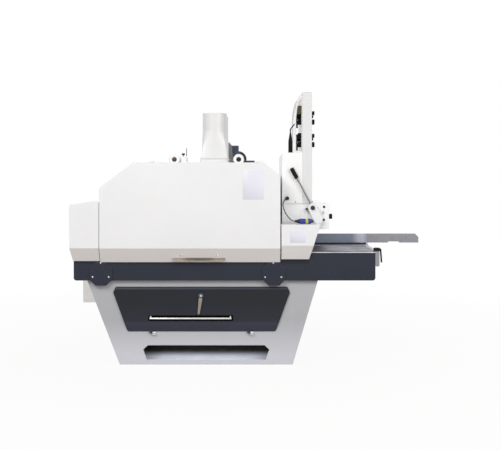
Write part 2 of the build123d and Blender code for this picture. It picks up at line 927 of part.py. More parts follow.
contact_depth = 42.0
contact_half_y = 16.0
contact_tail_y = 11.0
contact_tail_z = 10.0
contact_tail_drop = 45.0
boot_x = 612.0
boot_y = -300.0
boot_radius = 15.5
boot_neck = 6.0
boot_foot = 85.0
boot_height = 145.0
contact_half_z = 20.0
contact_step = 0.6
harness_radius = 4.5
harness_loop = 30.0
harness_bend = 14.0
harness_set_in = 36.0
relay_depth = 40.0
relay_width = 40.0
relay_height = 60.0
relay_drop = 98.0


def console_wiring():
    """Contact blocks behind the console and the rubber boot where its wiring enters the hood."""
    blocks = []
    step_x = console_left_x - contact_depth * contact_step
    for device_y, device_z in device_places().values():
        back = block(
            step_x,
            console_left_x,
            device_y - contact_half_y,
            device_y + contact_half_y,
            device_z - contact_half_z,
            device_z + contact_half_z,
        )
        back += block(
            console_left_x - contact_depth,
            step_x,
            device_y - contact_tail_y,
            device_y + contact_tail_y,
            device_z - contact_tail_drop,
            device_z + contact_tail_z,
        )
        blocks.append(back)
    profile = Polyline(
        (0, 0),
        (boot_radius, 0),
        (boot_radius, boot_foot),
        (boot_neck, boot_height),
        (0, boot_height),
        close=True,
    )
    boot = revolve(make_face(Plane.XZ * profile), Axis.Z)
    relay_top = console_top_z - relay_drop
    relay_y = console_front_y + relay_width
    relay = block(
        console_left_x - relay_depth,
        console_left_x,
        relay_y,
        relay_y + relay_width,
        relay_top - relay_height,
        relay_top,
    )
    return group(*blocks, relay, Pos(boot_x, boot_y, infeed_hood_top_z) * boot + harness())


def harness():
    """The wiring from the boot up to the upper selector's contacts."""
    selector_y, selector_z = device_places()["upper_selector"]
    contact_x = console_left_x - contact_depth * contact_step / 2
    contact_top = selector_z + contact_half_z
    boot_top = infeed_hood_top_z + boot_height
    loop_z = contact_top + harness_loop
    run_x = console_left_x - harness_set_in
    run_y = (boot_y + selector_y) / 2
    route = [
        (boot_x, boot_y, boot_top - boot_neck),
        (boot_x, boot_y, boot_top + harness_loop),
        (run_x, run_y, boot_top + 3 * harness_loop),
        (run_x, run_y, loop_z),
        (contact_x, selector_y, loop_z),
        (contact_x, selector_y, contact_top),
    ]
    path = FilletPolyline(*route, radius=harness_bend)
    section = Plane(origin=path @ 0, z_dir=path % 0) * Circle(harness_radius)
    return sweep(section, path=path)


# Dust ports, lifting eyes, lubricator

port_radius = 90.0
port_wall = 2.0
port_height = 369.0
spigot_length = 133.0
port_top_z = hood_top_z + port_height
port_joint_z = port_top_z - spigot_length
collar_half = 99.0
collar_height = 40.0
collar_flange = 5.0
duct_half = 97.0


def dust_port(y):
    """Square collar, square-to-round transition and round spigot, open right through."""
    flange_z = hood_top_z + collar_height
    start = Pos(dust_x, y, 0)
    collar = block(-collar_half, collar_half, -collar_half, collar_half, hood_top_z, flange_z)
    wide = collar_half + collar_flange
    collar += block(-wide, wide, -wide, wide, flange_z - 2 * sheet, flange_z)
    square = Pos(0, 0, flange_z) * Rectangle(2 * duct_half, 2 * duct_half)
    square_bore = Pos(0, 0, flange_z) * Rectangle(2 * (duct_half - port_wall), 2 * (duct_half - port_wall))
    ring = Pos(0, 0, port_joint_z) * Circle(port_radius)
    ring_bore = Pos(0, 0, port_joint_z) * Circle(port_radius - port_wall)
    body = collar + loft([square, ring]) + rod((0, 0, port_joint_z), (0, 0, 1), port_radius, spigot_length)
    half_hole = dust_hole / 2
    body -= block(-half_hole, half_hole, -half_hole, half_hole, hood_top_z, flange_z)
    body -= loft([square_bore, ring_bore])
    body -= rod((0, 0, port_joint_z), (0, 0, 1), port_radius - port_wall, spigot_length)
    return start * body


def dust_ports():
    return group(*[dust_port(y) for y in dust_ys])


eye_xs = (-233.0, 232.0)
eye_y = -420.0
eye_radius = 39.0
eye_hole = 18.0
eye_thick = 20.0
eye_edge = 5.0
eye_rise = 25.0


def lifting_eye(x):
    """A round lug welded on the roof, with a hole for a shackle."""
    centre_z = hood_top_z + eye_rise
    y0 = eye_y - eye_thick / 2
    y1 = y0 + eye_thick
    eye = rod((x, y0, centre_z), (0, 1, 0), eye_radius, eye_thick)
    eye = chamfer(eye.edges().filter_by(GeomType.CIRCLE), eye_edge)
    eye -= block(x - eye_radius, x + eye_radius, y0, y1, hood_top_z - eye_radius, hood_top_z)
    return eye - rod((x, y0, centre_z), (0, 1, 0), eye_hole, eye_thick)


def lifting_eyes():
    return group(*[lifting_eye(x) for x in eye_xs])


oiler_x = -171.0
oiler_y = -380.0
oiler_radius = 32.0
oiler_height = 48.0
oiler_dome = 19.2
oiler_floor = 12.0
oiler_knob = 12.0
oiler_rod = 3.0
vent_offset = 23.0
vent_height = 106.0
vent_radius = 2.5
bottle_x = -240.0
bottle_y = -345.0
bottle_radius = 26.0
bottle_height = 40.0
bottle_shoulder = 8.0
bottle_neck = 10.0
bottle_pipe_z = 14.0
bottle_pipe = 3.5


def oil_bottle():
    """Oil bottle beside the pump and the pipe between them."""
    bottle = rod((bottle_x, bottle_y, hood_top_z), (0, 0, 1), bottle_radius, bottle_height)
    bottle = fillet(bottle.edges().group_by(Axis.Z)[-1], bottle_shoulder)
    bottle += rod((bottle_x, bottle_y, hood_top_z), (0, 0, 1), bottle_neck, bottle_height + bottle_neck)
    run = (oiler_x - bottle_x, oiler_y - bottle_y, 0)
    start = (bottle_x, bottle_y, hood_top_z + bottle_pipe_z)
    return bottle + rod(start, run, bottle_pipe, math.hypot(run[0], run[1]) - oiler_radius / 2)


def lubricator():
    """Domed oil pump body with its vent pipe and oil bottle; its pull knob is a piece of its own."""
    body = rod((oiler_x, oiler_y, hood_top_z), (0, 0, 1), oiler_radius, oiler_height)
    body = fillet(body.edges().group_by(Axis.Z)[-1], oiler_dome)
    body += rod((oiler_x + vent_offset, oiler_y, hood_top_z), (0, 0, 1), vent_radius, vent_height)
    bore_z = hood_top_z + oiler_floor
    body -= rod((oiler_x, oiler_y, bore_z), (0, 0, 1), oiler_rod + running, oiler_height)
    return body + oil_bottle()


oiler_stroke = 10.0


def lubricator_knob():
    top = hood_top_z + oiler_height
    stem_low = top - oiler_height / 2
    knob_z = top + oiler_stroke
    stem = rod((oiler_x, oiler_y, stem_low), (0, 0, 1), oiler_rod, knob_z - stem_low)
    knob = rod((oiler_x, oiler_y, knob_z), (0, 0, 1), oiler_knob, oiler_knob)
    return stem + fillet(knob.edges().group_by(Axis.Z)[-1], oiler_knob / 3)


# Column and lifting gear

column_rear_y = column_front_y + column_depth
column_mid_y = column_front_y + column_depth / 2
post_wall = 12.0
guide_depth = 15.0
guide_half = 20.0
beam_rail_depth = 10.0
beam_rail_half = 20.0
beam_rail_rise = 60.0
beam_rail_length = 270.0
beam_rail_low_z = table_z + beam_rail_rise
beam_rail_high_z = beam_rail_low_z + beam_rail_length
screw_radius = 18.0
jack_half_x = 55.0
jack_half_y = 55.0
jack_height = 70.0
lift_motor_x = 222.0
bracket_left_x = 100.0
bracket_right_x = 182.0
bracket_top_x = 149.0
bracket_height = 211.0
bracket_corner = 26.0
bracket_lean = 13.0
lift_motor_radius = 64.0
lift_motor_length = 180.0
lift_foot = 14.0
lift_foot_half = 58.0
lift_plate_reach = 132.0
lift_plate_thick = 14.0
lift_foot_set_back = 36.0
lift_foot_height = 53.0
lift_box_width = 54.0
lift_box_depth = 72.0
lift_box_set_back = 54.0
lift_box_height = 111.0


def column_post(x, side):
    """One hollow post with a slide rail for the carriage inside and one for a pressure beam in front."""
    half = post_width / 2
    post = block(x - half, x + half, column_front_y, column_rear_y, base_height, column_top_z)
    post -= block(
        x - half + post_wall,
        x + half - post_wall,
        column_front_y + post_wall,
        column_rear_y - post_wall,
        base_height,
        column_top_z - post_wall,
    )
    inner_x = arbor_x + side * portal_half
    rail_x = sorted((inner_x, inner_x - side * guide_depth))
    low_z = base_height + post_width
    high_z = column_top_z - beam_height
    post += block(*rail_x, column_mid_y - guide_half, column_mid_y + guide_half, low_z, high_z)
    rail_y = column_front_y - beam_rail_depth
    return post + block(
        x - beam_rail_half, x + beam_rail_half, rail_y, column_front_y, beam_rail_low_z, beam_rail_high_z
    )


def column():
    """Portal of two posts and a cross beam that stands on the base shelf, and the duct stay on top."""
    left_x = arbor_x - portal_half
    right_x = arbor_x + portal_half
    low_z = column_top_z - beam_height
    cross = block(left_x, right_x, column_front_y, column_rear_y, low_z, column_top_z)
    cross -= rod((arbor_x, column_mid_y, low_z), (0, 0, 1), screw_radius + sliding, beam_height)
    corner_z = column_top_z + bracket_height - bracket_corner
    bracket = [
        (bracket_left_x, column_top_z),
        (bracket_right_x, column_top_z),
        (bracket_right_x - bracket_lean, corner_z),
        (bracket_top_x, column_top_z + bracket_height),
        (bracket_left_x, column_top_z + bracket_height),
    ]
    stay = prism_xz(bracket, column_front_y, column_front_y + 2 * sheet)
    return group(column_post(post_xs[0], -1), column_post(post_xs[1], 1), cross, stay)


def lift_motor():
    """Lifting motor on the column with its screw jack beside it."""
    axis_z = column_top_z + lift_foot + lift_motor_radius
    y0 = column_front_y + lift_foot
    motor = rod((lift_motor_x, y0, axis_z), (0, 1, 0), lift_motor_radius, lift_motor_length)
    motor = fillet(motor.edges().group_by(Axis.Y)[0], lift_motor_radius / 5)
    motor += block(
        lift_motor_x - lift_foot_half,
        lift_motor_x + lift_foot_half,
        y0 + lift_foot_set_back,
        column_rear_y,
        column_top_z,
        column_top_z + lift_foot_height,
    )
    motor += block(
        lift_motor_x - lift_foot_half,
        lift_motor_x + lift_plate_reach,
        y0 + lift_foot_set_back,
        column_rear_y,
        column_top_z + lift_foot_height,
        column_top_z + lift_foot_height + lift_plate_thick,
    )
    motor += block(
        lift_motor_x - lift_box_width,
        lift_motor_x,
        y0 + lift_box_set_back,
        y0 + lift_box_set_back + lift_box_depth,
        axis_z,
        axis_z + lift_box_height,
    )
    jack = block(
        arbor_x - jack_half_x,
        arbor_x + jack_half_x,
        column_mid_y - jack_half_y,
        column_mid_y + jack_half_y,
        column_top_z,
        column_top_z + jack_height,
    )
    jack = chamfer(jack.edges().filter_by(Axis.Z), jack_half_y / 4)
    jack -= rod((arbor_x, column_mid_y, column_top_z), (0, 0, 1), screw_radius + sliding, jack_height)
    return group(motor, jack)


# Saw carriage, arbor and main drive

carriage_drop = 90.0
carriage_height = 250.0
carriage_front_gap = 6.0
carriage_rear_gap = 4.0
carriage_low_z = arbor_z - carriage_drop
carriage_high_z = carriage_low_z + carriage_height
carriage_front_y = column_front_y + carriage_front_gap
carriage_rear_y = column_rear_y - carriage_rear_gap
arbor_radius = 35.0
flange_radius = 60.0
flange_thick = 13.0
flange_front_y = 62.0
quill_gap = 3.0
quill_front_y = flange_front_y + flange_thick + quill_gap
boss_radius = 75.0
case_gap = 6.0
case_front_y = column_rear_y + case_gap
case_wall = 6.0
pulley_width = 66.0
pulley_side_gap = 5.0
case_rear_y = case_front_y + 2 * case_wall + 2 * pulley_side_gap + pulley_width
pulley_y = case_front_y + case_wall + pulley_side_gap
screw_length = 390.0


def saw_carriage():
    """Carriage between the posts with the spindle quill in front and its lifting screw on top."""
    left_x = arbor_x - portal_half + sliding
    right_x = arbor_x + portal_half - sliding
    body = block(left_x, right_x, carriage_front_y, carriage_rear_y, carriage_low_z, carriage_high_z)
    groove_half = guide_half + sliding
    for side in (-1, 1):
        inner_x = arbor_x + side * portal_half
        groove_x = sorted((inner_x, inner_x - side * (guide_depth + sliding)))
        body -= block(
            *groove_x, column_mid_y - groove_half, column_mid_y + groove_half, carriage_low_z, carriage_high_z
        )
    quill_length = carriage_front_y - quill_front_y
    body += rod((arbor_x, quill_front_y, arbor_z), (0, 1, 0), quill_radius, quill_length)
    body += rod((arbor_x, carriage_rear_y, arbor_z), (0, 1, 0), boss_radius, case_front_y - carriage_rear_y)
    bore_length = case_front_y - quill_front_y
    body -= rod((arbor_x, quill_front_y, arbor_z), (0, 1, 0), arbor_radius + running, bore_length)
    screw = rod((arbor_x, column_mid_y, carriage_high_z), (0, 0, 1), screw_radius, screw_length)
    return group(body, screw)


blade_radius = 150.0
blade_thick = 3.2
blade_count = 5
blade_teeth = 24
gullet_depth = 16.0
gullet_rise = 2.4
tooth_back = 3.2
gullet_share = 0.04
gullet_end_share = 0.35
tooth_back_share = 0.55
spacer_width = 66.0
spacer_radius = 50.0
nut_radius = 52.0
nut_thick = 30.0
end_collar = 40.0
arbor_tail = 10.0
blade_step = blade_thick + spacer_width
stack_front_y = flange_front_y - blade_count * blade_thick - (blade_count - 1) * spacer_width


def saw_blade(y):
    """A rip blade: hooked teeth that cut against the feed, gullets and the arbor hole."""
    outline = []
    tooth_angle = 360 / blade_teeth
    gullet_radius = blade_radius - gullet_depth
    for i in range(blade_teeth):
        start = i * tooth_angle
        steps = (
            (blade_radius, 0),
            (gullet_radius, gullet_share),
            (gullet_radius + gullet_rise, gullet_end_share),
            (blade_radius - tooth_back, tooth_back_share),
        )
        for radius, share in steps:
            angle = math.radians(start + share * tooth_angle)
            outline.append((arbor_x + radius * math.cos(angle), arbor_z + radius * math.sin(angle)))
    blade = prism_xz(outline, y, y + blade_thick)
    return blade - rod((arbor_x, y, arbor_z), (0, 1, 0), arbor_radius + running, blade_thick)


def saw_blades():
    return group(*[saw_blade(flange_front_y - blade_thick - i * blade_step) for i in range(blade_count)])


def arbor_collars():
    """Spacers between the blades, the end collar and the arbor nut."""
    bore = arbor_radius + running
    spacers = []
    for i in range(blade_count - 1):
        y = flange_front_y - (i + 1) * blade_step
        spacers.append(tube((arbor_x, y, arbor_z), (0, 1, 0), spacer_radius, bore, spacer_width))
    collar_y = stack_front_y - end_collar
    collar = tube((arbor_x, collar_y, arbor_z), (0, 1, 0), spacer_radius, bore, end_collar)
    nut_y = collar_y - nut_thick
    hexagon = [
        (arbor_x + nut_radius * math.cos(math.radians(a)), arbor_z + nut_radius * math.sin(math.radians(a)))
        for a in range(0, 360, 60)
    ]
    nut = prism_xz(hexagon, nut_y, collar_y) - rod((arbor_x, nut_y, arbor_z), (0, 1, 0), bore, nut_thick)
    return group(*spacers, collar, nut)


arbor_pulley_radius = 70.0
motor_pulley_radius = 85.0
groove_count = 4
groove_depth = 11.0
groove_low_half = 3.0
groove_high_half = 5.5
groove_pitch = 15.0
motor_offset = 360.0
motor_drop = 60.0
motor_x = arbor_x + motor_offset
motor_z = arbor_z - motor_drop
motor_shaft_radius = 24.0


def groove_middles():
    first = pulley_y + (pulley_width - (groove_count - 1) * groove_pitch) / 2
    return [first + i * groove_pitch for i in range(groove_count)]


def v_pulley(x, z, radius, bore):
    """A grooved pulley turned about Y."""
    points = [(bore, pulley_y), (radius, pulley_y)]
    for y in groove_middles():
        points.append((radius, y - groove_high_half))
        points.append((radius - groove_depth, y - groove_low_half))
        points.append((radius - groove_depth, y + groove_low_half))
        points.append((radius, y + groove_high_half))
    points += [(radius, pulley_y + pulley_width), (bore, pulley_y + pulley_width)]
    profile = make_face(Polyline([(r, y, 0) for r, y in points], close=True))
    return Pos(x, 0, z) * revolve(profile, Axis.Y)


def arbor():
    """Arbor shaft with its fixed flange, and the pulley on its rear end."""
    front_y = stack_front_y - end_collar - nut_thick - arbor_tail
    rear_y = pulley_y + pulley_width
    shaft = rod((arbor_x, front_y, arbor_z), (0, 1, 0), arbor_radius, rear_y - front_y)
    shaft += rod((arbor_x, flange_front_y, arbor_z), (0, 1, 0), flange_radius, flange_thick)
    pulley = v_pulley(arbor_x, arbor_z, arbor_pulley_radius, arbor_radius + running)
    return group(shaft, pulley)


def drive_hull(offset, y0, y1):
    """The stadium round both pulleys, grown by an offset and drawn out along Y."""
    circles = [
        Pos(arbor_x, arbor_z) * Circle(arbor_pulley_radius + offset),
        Pos(motor_x, motor_z) * Circle(motor_pulley_radius + offset),
    ]
    edges = [edge for circle in circles for edge in circle.edges()]
    plane = Plane(origin=(0, y1, 0), x_dir=(1, 0, 0), z_dir=(0, -1, 0))
    return extrude(plane * make_hull(edges), amount=y1 - y0)


belt_clear = 0.6
belt_half = 2.4
case_room = 26.0


def v_belts():
    belts = []
    inner = belt_clear - groove_depth
    for y in groove_middles():
        belt = drive_hull(0, y - belt_half, y + belt_half) - drive_hull(inner, y - belt_half, y + belt_half)
        belts.append(belt)
    return group(*belts)


def belt_case():
    """Closed case round the belt drive, bolted to the carriage; the main motor hangs on its back."""
    case = drive_hull(case_room + case_wall, case_front_y, case_rear_y)
    case -= drive_hull(case_room, case_front_y + case_wall, case_rear_y - case_wall)
    case -= rod((arbor_x, case_front_y, arbor_z), (0, 1, 0), arbor_radius + sliding, case_wall)
    bore = motor_shaft_radius + sliding
    return case - rod((motor_x, case_rear_y - case_wall, motor_z), (0, 1, 0), bore, case_wall)


motor_flange_radius = 150.0
motor_flange_thick = 16.0
motor_body_radius = 116.0
motor_fin_radius = 136.0
motor_body_length = 240.0
motor_cowl_length = 80.0
motor_fins = 20
motor_fin_thick = 5.0
terminal_half_x = 55.0
terminal_height = 62.0


def main_motor():
    """Flange motor with cooling fins, fan cowl and terminal box."""
    y0 = case_rear_y
    body = rod((motor_x, y0, motor_z), (0, 1, 0), motor_flange_radius, motor_flange_thick)
    body += rod((motor_x, y0, motor_z), (0, 1, 0), motor_body_radius, motor_body_length)
    fin_y0 = y0 + 3 * motor_flange_thick
    fin_y1 = y0 + motor_body_length
    half = motor_fin_thick / 2
    fin = block(-half, half, fin_y0, fin_y1, motor_body_radius - half, motor_fin_radius)
    for i in range(motor_fins):
        body += Pos(motor_x, 0, motor_z) * Rot(0, 360 * (i + 0.5) / motor_fins, 0) * fin
    cowl = rod((motor_x, fin_y1, motor_z), (0, 1, 0), motor_fin_radius, motor_cowl_length)
    body += fillet(cowl.edges().group_by(Axis.Y)[-1], motor_cowl_length / 4)
    box_low = motor_z + motor_body_radius - half
    body += block(
        motor_x - terminal_half_x,
        motor_x + terminal_half_x,
        fin_y0,
        fin_y0 + 2 * terminal_half_x,
        box_low,
        box_low + motor_fin_radius - motor_body_radius + terminal_height,
    )
    return body - rod((motor_x, y0, motor_z), (0, 1, 0), motor_shaft_radius + running, motor_body_length / 4)


def motor_pulley():
    pulley = v_pulley(motor_x, motor_z, motor_pulley_radius, motor_shaft_radius / 2)
    tail_y = case_rear_y + motor_body_length / 5
    return pulley + rod((motor_x, pulley_y, motor_z), (0, 1, 0), motor_shaft_radius, tail_y - pulley_y)


# Pressure beams and rollers

roller_radius = 45.0
roller_lift = 35.0
axle_radius = 12.0
beam_front_gap = 25.0
beam_rear_gap = 29.0
beam_front_y = chain_front_y - beam_front_gap
beam_rear_y = chain_rear_y + beam_rear_gap
beam_plate = 12.0
beam_saddle = 16.0
roller_side_gap = 5.0
roller_z = table_z + roller_lift + roller_radius
slide_half = 42.0
slide_drop = 30.0
slide_height = 110.0
slide_low_z = arm_low_z - slide_drop
slide_high_z = slide_low_z + slide_height
first_roller_x = 195.0
roller_pitch = 110.0
infeed_roller_xs = (first_roller_x, first_roller_x + roller_pitch)
outfeed_roller_xs = (post_xs[0],)
beam_overhang = 48.0


def pressure_beam(post_x, roller_xs):
    """A beam that hangs its rollers between two plates and slides on a rail of the column post."""
    x0 = min(roller_xs) - beam_overhang
    x1 = max(roller_xs) + beam_overhang
    low_z = roller_z - 2 * axle_radius
    saddle_low = arm_high_z - beam_saddle
    beam = block(x0, x1, beam_front_y, beam_rear_y, saddle_low, arm_high_z)
    for y in (beam_front_y, beam_rear_y - beam_plate):
        plate = block(x0, x1, y, y + beam_plate, low_z, arm_high_z)
        plate = fillet(plate.edges().filter_by(Axis.Y).group_by(Axis.Z)[0], axle_radius)
        for x in roller_xs:
            plate -= rod((x, y, roller_z), (0, 1, 0), axle_radius + running, beam_plate)
        beam += plate
    slide_front = column_front_y - beam_rail_depth - panel_gap
    beam += block(post_x - arm_half, post_x + arm_half, beam_rear_y, slide_front, arm_low_z, arm_high_z)
    slide_rear = column_front_y - sliding
    shoe = block(post_x - slide_half, post_x + slide_half, slide_front, slide_rear, slide_low_z, slide_high_z)
    rail_half = beam_rail_half + sliding
    rail_y = column_front_y - beam_rail_depth - sliding
    shoe -= block(post_x - rail_half, post_x + rail_half, rail_y, column_front_y, slide_low_z, slide_high_z)
    return beam + shoe


def infeed_beam():
    return pressure_beam(post_xs[1], infeed_roller_xs)


def outfeed_beam():
    return pressure_beam(post_xs[0], outfeed_roller_xs)


def pressure_roller(x):
    """A roller with its axle journals in the beam plates."""
    front = beam_front_y + beam_plate + roller_side_gap
    rear = beam_rear_y - beam_plate - roller_side_gap
    roller = rod((x, front, roller_z), (0, 1, 0), roller_radius, rear - front)
    roller = chamfer(roller.edges(), roller_side_gap / 2)
    return roller + rod((x, beam_front_y, roller_z), (0, 1, 0), axle_radius, beam_rear_y - beam_front_y)


# Kickback fingers, release lever and star knob

cam_standoff = 34.0
cam_front_y = cheek_front_y - cam_standoff
cam_thick = 10.0
cam_radius = 32.0
lobe_offset = 40.0
lobe_drop = 86.0
lobe_x = lever_x + lobe_offset
lobe_z = lever_z - lobe_drop
lever_length = 328.0
lever_lean = 28.2
lever_rod_radius = 6.0
lever_root = 19.2
grip_length = 85.0
grip_radius = 15.0
cap_radius = 16.0
bumper_radius = 9.0
bumper_gap = 1.5
star_y = -320.0
star_drop = 95.0
star_z = housing_top_z - star_drop
star_radius = 14.0
star_stud = 6.0
star_length = 22.4
star_lobes = 5
star_lobe_radius = 5.6


def lever_direction():
    angle = math.radians(lever_lean)
    return (-math.sin(angle), 0, math.cos(angle))


def lever_point(distance):
    dx, _, dz = lever_direction()
    return (lever_x + dx * distance, cam_front_y + cam_thick / 2, lever_z + dz * distance)


def kickback_lever():
    """Cam plate, lever rod and release shaft through both cheeks."""
    circles = [Pos(lever_x, lever_z) * Circle(cam_radius), Pos(lobe_x, lobe_z) * Circle(cam_radius)]
    edges = [edge for circle in circles for edge in circle.edges()]
    plane = Plane(origin=(0, cam_front_y + cam_thick, 0), x_dir=(1, 0, 0), z_dir=(0, -1, 0))
    lever = extrude(plane * make_hull(edges), amount=cam_thick)
    cap_y = cam_front_y - cam_thick
    lever += rod((lever_x, cap_y, lever_z), (0, 1, 0), cap_radius, cam_thick)
    lever += rod((lever_x, cam_front_y, lever_z), (0, 1, 0), lever_shaft_radius, cheek_rear_y - cam_front_y)
    rod_length = lever_length - grip_length - lever_root
    return lever + rod(lever_point(lever_root), lever_direction(), lever_rod_radius, rod_length)


def lever_grip():
    grip = rod(lever_point(lever_length - grip_length), lever_direction(), grip_radius, grip_length)
    return fillet(grip.edges(), grip_radius / 3)


finger_root = 26.0
finger_heel = 16.0


def kickback_finger(y):
    """One finger: an eye on the shaft and a pointed toe that trails with the feed."""
    tip_x = finger_shaft_x - finger_reach_x
    outline = [
        (finger_shaft_x - finger_root, finger_shaft_z),
        (tip_x - finger_heel / 2, finger_tip_z + finger_root),
        (tip_x, finger_tip_z),
        (tip_x + finger_heel, finger_tip_z + finger_heel / 4),
        (finger_shaft_x + finger_root, finger_shaft_z),
    ]
    finger = prism_xz(outline, y, y + finger_thick)
    finger += rod((finger_shaft_x, y, finger_shaft_z), (0, 1, 0), finger_root, finger_thick)
    bore = finger_shaft_radius + running
    return finger - rod((finger_shaft_x, y, finger_shaft_z), (0, 1, 0), bore, finger_thick)


def kickback_fingers():
    step = finger_thick + finger_gap
    first_y = chain_y - finger_count * step / 2
    return group(*[kickback_finger(first_y + i * step) for i in range(finger_count)])


def finger_shaft():
    length = cheek_rear_y - cheek_front_y
    return rod((finger_shaft_x, cheek_front_y, finger_shaft_z), (0, 1, 0), finger_shaft_radius, length)


def cam_bumper():
    """Stop for the cam on the front cheek."""
    x = lever_x - cam_radius - bumper_radius - bumper_gap
    z = lever_z - bumper_radius
    return rod((x, cam_front_y, z), (0, 1, 0), bumper_radius, cam_standoff)


def star_knob():
    """Five-lobed adjusting knob with its stud in the housing's end plate."""
    x0 = housing_right_x + panel_gap
    knob = rod((x0, star_y, star_z), (1, 0, 0), star_radius, star_length)
    for i in range(star_lobes):
        angle = math.radians(360 * i / star_lobes)
        y = star_y + star_radius * math.cos(angle)
        z = star_z + star_radius * math.sin(angle)
        knob += rod((x0, y, z), (1, 0, 0), star_lobe_radius, star_length)
    stud_x = housing_right_x - cheek_plate
    return knob + rod((stud_x, star_y, star_z), (1, 0, 0), star_stud, x0 - stud_x)


# Fence, its rail and the clamp

rail_thick = 29.0
rail_height = 108.0
rail_low_z = table_z - rail_height
rail_round = 10.0
fence_y = 205.0
fence_thick = 12.0
fence_left_x = 780.0
fence_right_x = 1657.0
fence_clear = 11.0
fence_height = 72.0
fence_low_z = table_z + fence_clear
fence_high_z = fence_low_z + fence_height
fence_corner = 28.0
hook_foot = 56.0
notch_left_x = 1410.0
notch_right_x = 1506.0
notch_depth = 9.0
hook_plate = 16.0
hook_lip = 12.0
hook_rear_y = 252.0
clamp_y = -465.0
clamp_radius = 24.0
clamp_height = 24.0
clamp_stud = 6.0
clamp_drop = 82.0
clamp_root = 27.0
clamp_reach = 34.0
clamp_arm = 6.0


def fence_rail():
    """Guide bar along the infeed end of the table."""
    right_x = bed_right_x + rail_thick
    bar = block(bed_right_x, right_x, bed_front_y, bed_rear_y + hook_plate, rail_low_z, table_z - sliding)
    bar = fillet(bar.edges().filter_by(Axis.Y).group_by(Axis.Z)[0], rail_round)
    stud_x = bed_right_x + rail_thick / 2
    return bar - rod((stud_x, clamp_y, table_z - clamp_height), (0, 0, 1), clamp_stud + running, clamp_height)


def fence():
    """Fence plate on a shoe and on a hook that slides along the rail."""
    outline = [
        (fence_left_x, fence_low_z),
        (notch_left_x, fence_low_z),
        (notch_left_x + notch_depth, fence_low_z + notch_depth),
        (notch_right_x - notch_depth, fence_low_z + notch_depth),
        (notch_right_x, fence_low_z),
        (fence_right_x, fence_low_z),
        (fence_right_x, fence_high_z - fence_corner),
        (fence_right_x - fence_corner, fence_high_z),
        (fence_left_x, fence_high_z),
    ]
    plate = prism_xz(outline, fence_y, fence_y + fence_thick)
    rail_right = bed_right_x + rail_thick + sliding
    lip_x = rail_right - hook_lip
    foot_x = rail_right - hook_foot
    foot_z = table_z + sliding
    low_z = rail_low_z - sliding
    hook_outline = [
        (lip_x, low_z - hook_plate),
        (rail_right + hook_plate, low_z - hook_plate),
        (rail_right + hook_plate, fence_low_z),
        (foot_x, fence_low_z),
        (foot_x, foot_z),
        (rail_right, foot_z),
        (rail_right, low_z),
        (lip_x, low_z),
    ]
    shoe = block(fence_left_x, foot_x, fence_y, fence_y + fence_thick, foot_z, fence_low_z)
    return group(plate, shoe, prism_xz(hook_outline, fence_y, hook_rear_y))


def fence_clamp():
    """Clamp lever on the near end of the rail, its arm hanging down outside the bar."""
    x = bed_right_x + rail_thick / 2
    hub = rod((x, clamp_y, table_z), (0, 0, 1), clamp_radius, clamp_height)
    hub = fillet(hub.edges().group_by(Axis.Z)[-1], clamp_radius / 4)
    hub += rod((x, clamp_y, table_z - clamp_height), (0, 0, 1), clamp_stud, clamp_height)
    arm_z = table_z + clamp_height / 2
    root = (x + clamp_root, clamp_y, arm_z)
    hub += rod((x, clamp_y, arm_z), (1, 0, 0), clamp_arm, clamp_root)
    hub += Pos(*root) * Sphere(clamp_arm)
    lean = (clamp_reach - clamp_root, 0, -clamp_drop - clamp_height / 2)
    arm = rod(root, lean, clamp_arm, math.hypot(lean[0], lean[2]))
    return hub + fillet(arm.edges().group_by(Axis.Z)[0], clamp_arm / 2)


# Position sensor, its gland and its cord

sensor_y = -430.0
sensor_left_x = 637.0
sensor_boot = 38.0
sensor_body = 72.0
sensor_nose = 28.0
sensor_radius = 19.0
sensor_neck = 7.0
boot_step = 2.0
gland_x = 585.0
gland_rise = 39.0
gland_z = housing_top_z + gland_rise
gland_radius = 14.0
gland_length = 20.0
cord_radius = 3.25
sensor_z = side_top_z + sensor_radius


def position_sensor():
    """Round sensor lying on the side cover with its rubber boot, and the gland on the hood."""
    x0 = sensor_left_x
    x1 = x0 + sensor_boot
    x2 = x1 + sensor_body
    points = [
        (x0, 0),
        (x0, sensor_neck),
        (x1, sensor_radius - boot_step),
        (x1, sensor_radius),
        (x2, sensor_radius),
        (x2 + sensor_nose, sensor_neck),
        (x2 + sensor_nose, 0),
    ]
    profile = make_face(Polyline([(x, y, 0) for x, y in points], close=True))
    body = Pos(0, sensor_y, sensor_z) * revolve(profile, Axis.X)
    gland = rod((gland_x, infeed_hood_front_y, gland_z), (0, -1, 0), gland_radius, gland_length)
    gland = chamfer(gland.edges().group_by(Axis.Y)[0], gland_radius / 3)
    return group(body, gland)


cord_lead = 28.0
cord_entry = 26.0
cord_bends = [(19.0, 19.0, 26.0), (28.0, 28.0, 64.0), (22.0, 30.0, 106.0), (2.0, 25.0, 141.0)]
cord_bend_share = 0.45
gland_face_y = infeed_hood_front_y - gland_length
lead_y = gland_face_y - cord_lead
cord_points = [
    (gland_x, gland_face_y, gland_z),
    (gland_x, lead_y, gland_z),
    *[(gland_x - left, lead_y - out, gland_z - down) for left, out, down in cord_bends],
    (sensor_left_x - cord_entry, sensor_y, sensor_z),
    (sensor_left_x, sensor_y, sensor_z),
]


def cord_radii():
    """The largest bend that the two runs beside each corner allow."""
    radii = []
    for before, corner, after in zip(cord_points, cord_points[1:], cord_points[2:]):
        run_in = Vector(*corner) - Vector(*before)
        run_out = Vector(*after) - Vector(*corner)
        turn = math.radians(run_in.get_angle(run_out))
        radii.append(cord_bend_share * min(run_in.length, run_out.length) / math.tan(turn / 2))
    return radii


def sensor_cord():
    path = FilletPolyline(*cord_points, radius=cord_radii())
    section = Plane(origin=path @ 0, z_dir=path % 0) * Circle(cord_radius)
    return sweep(section, path=path)


# Electrical cabinet

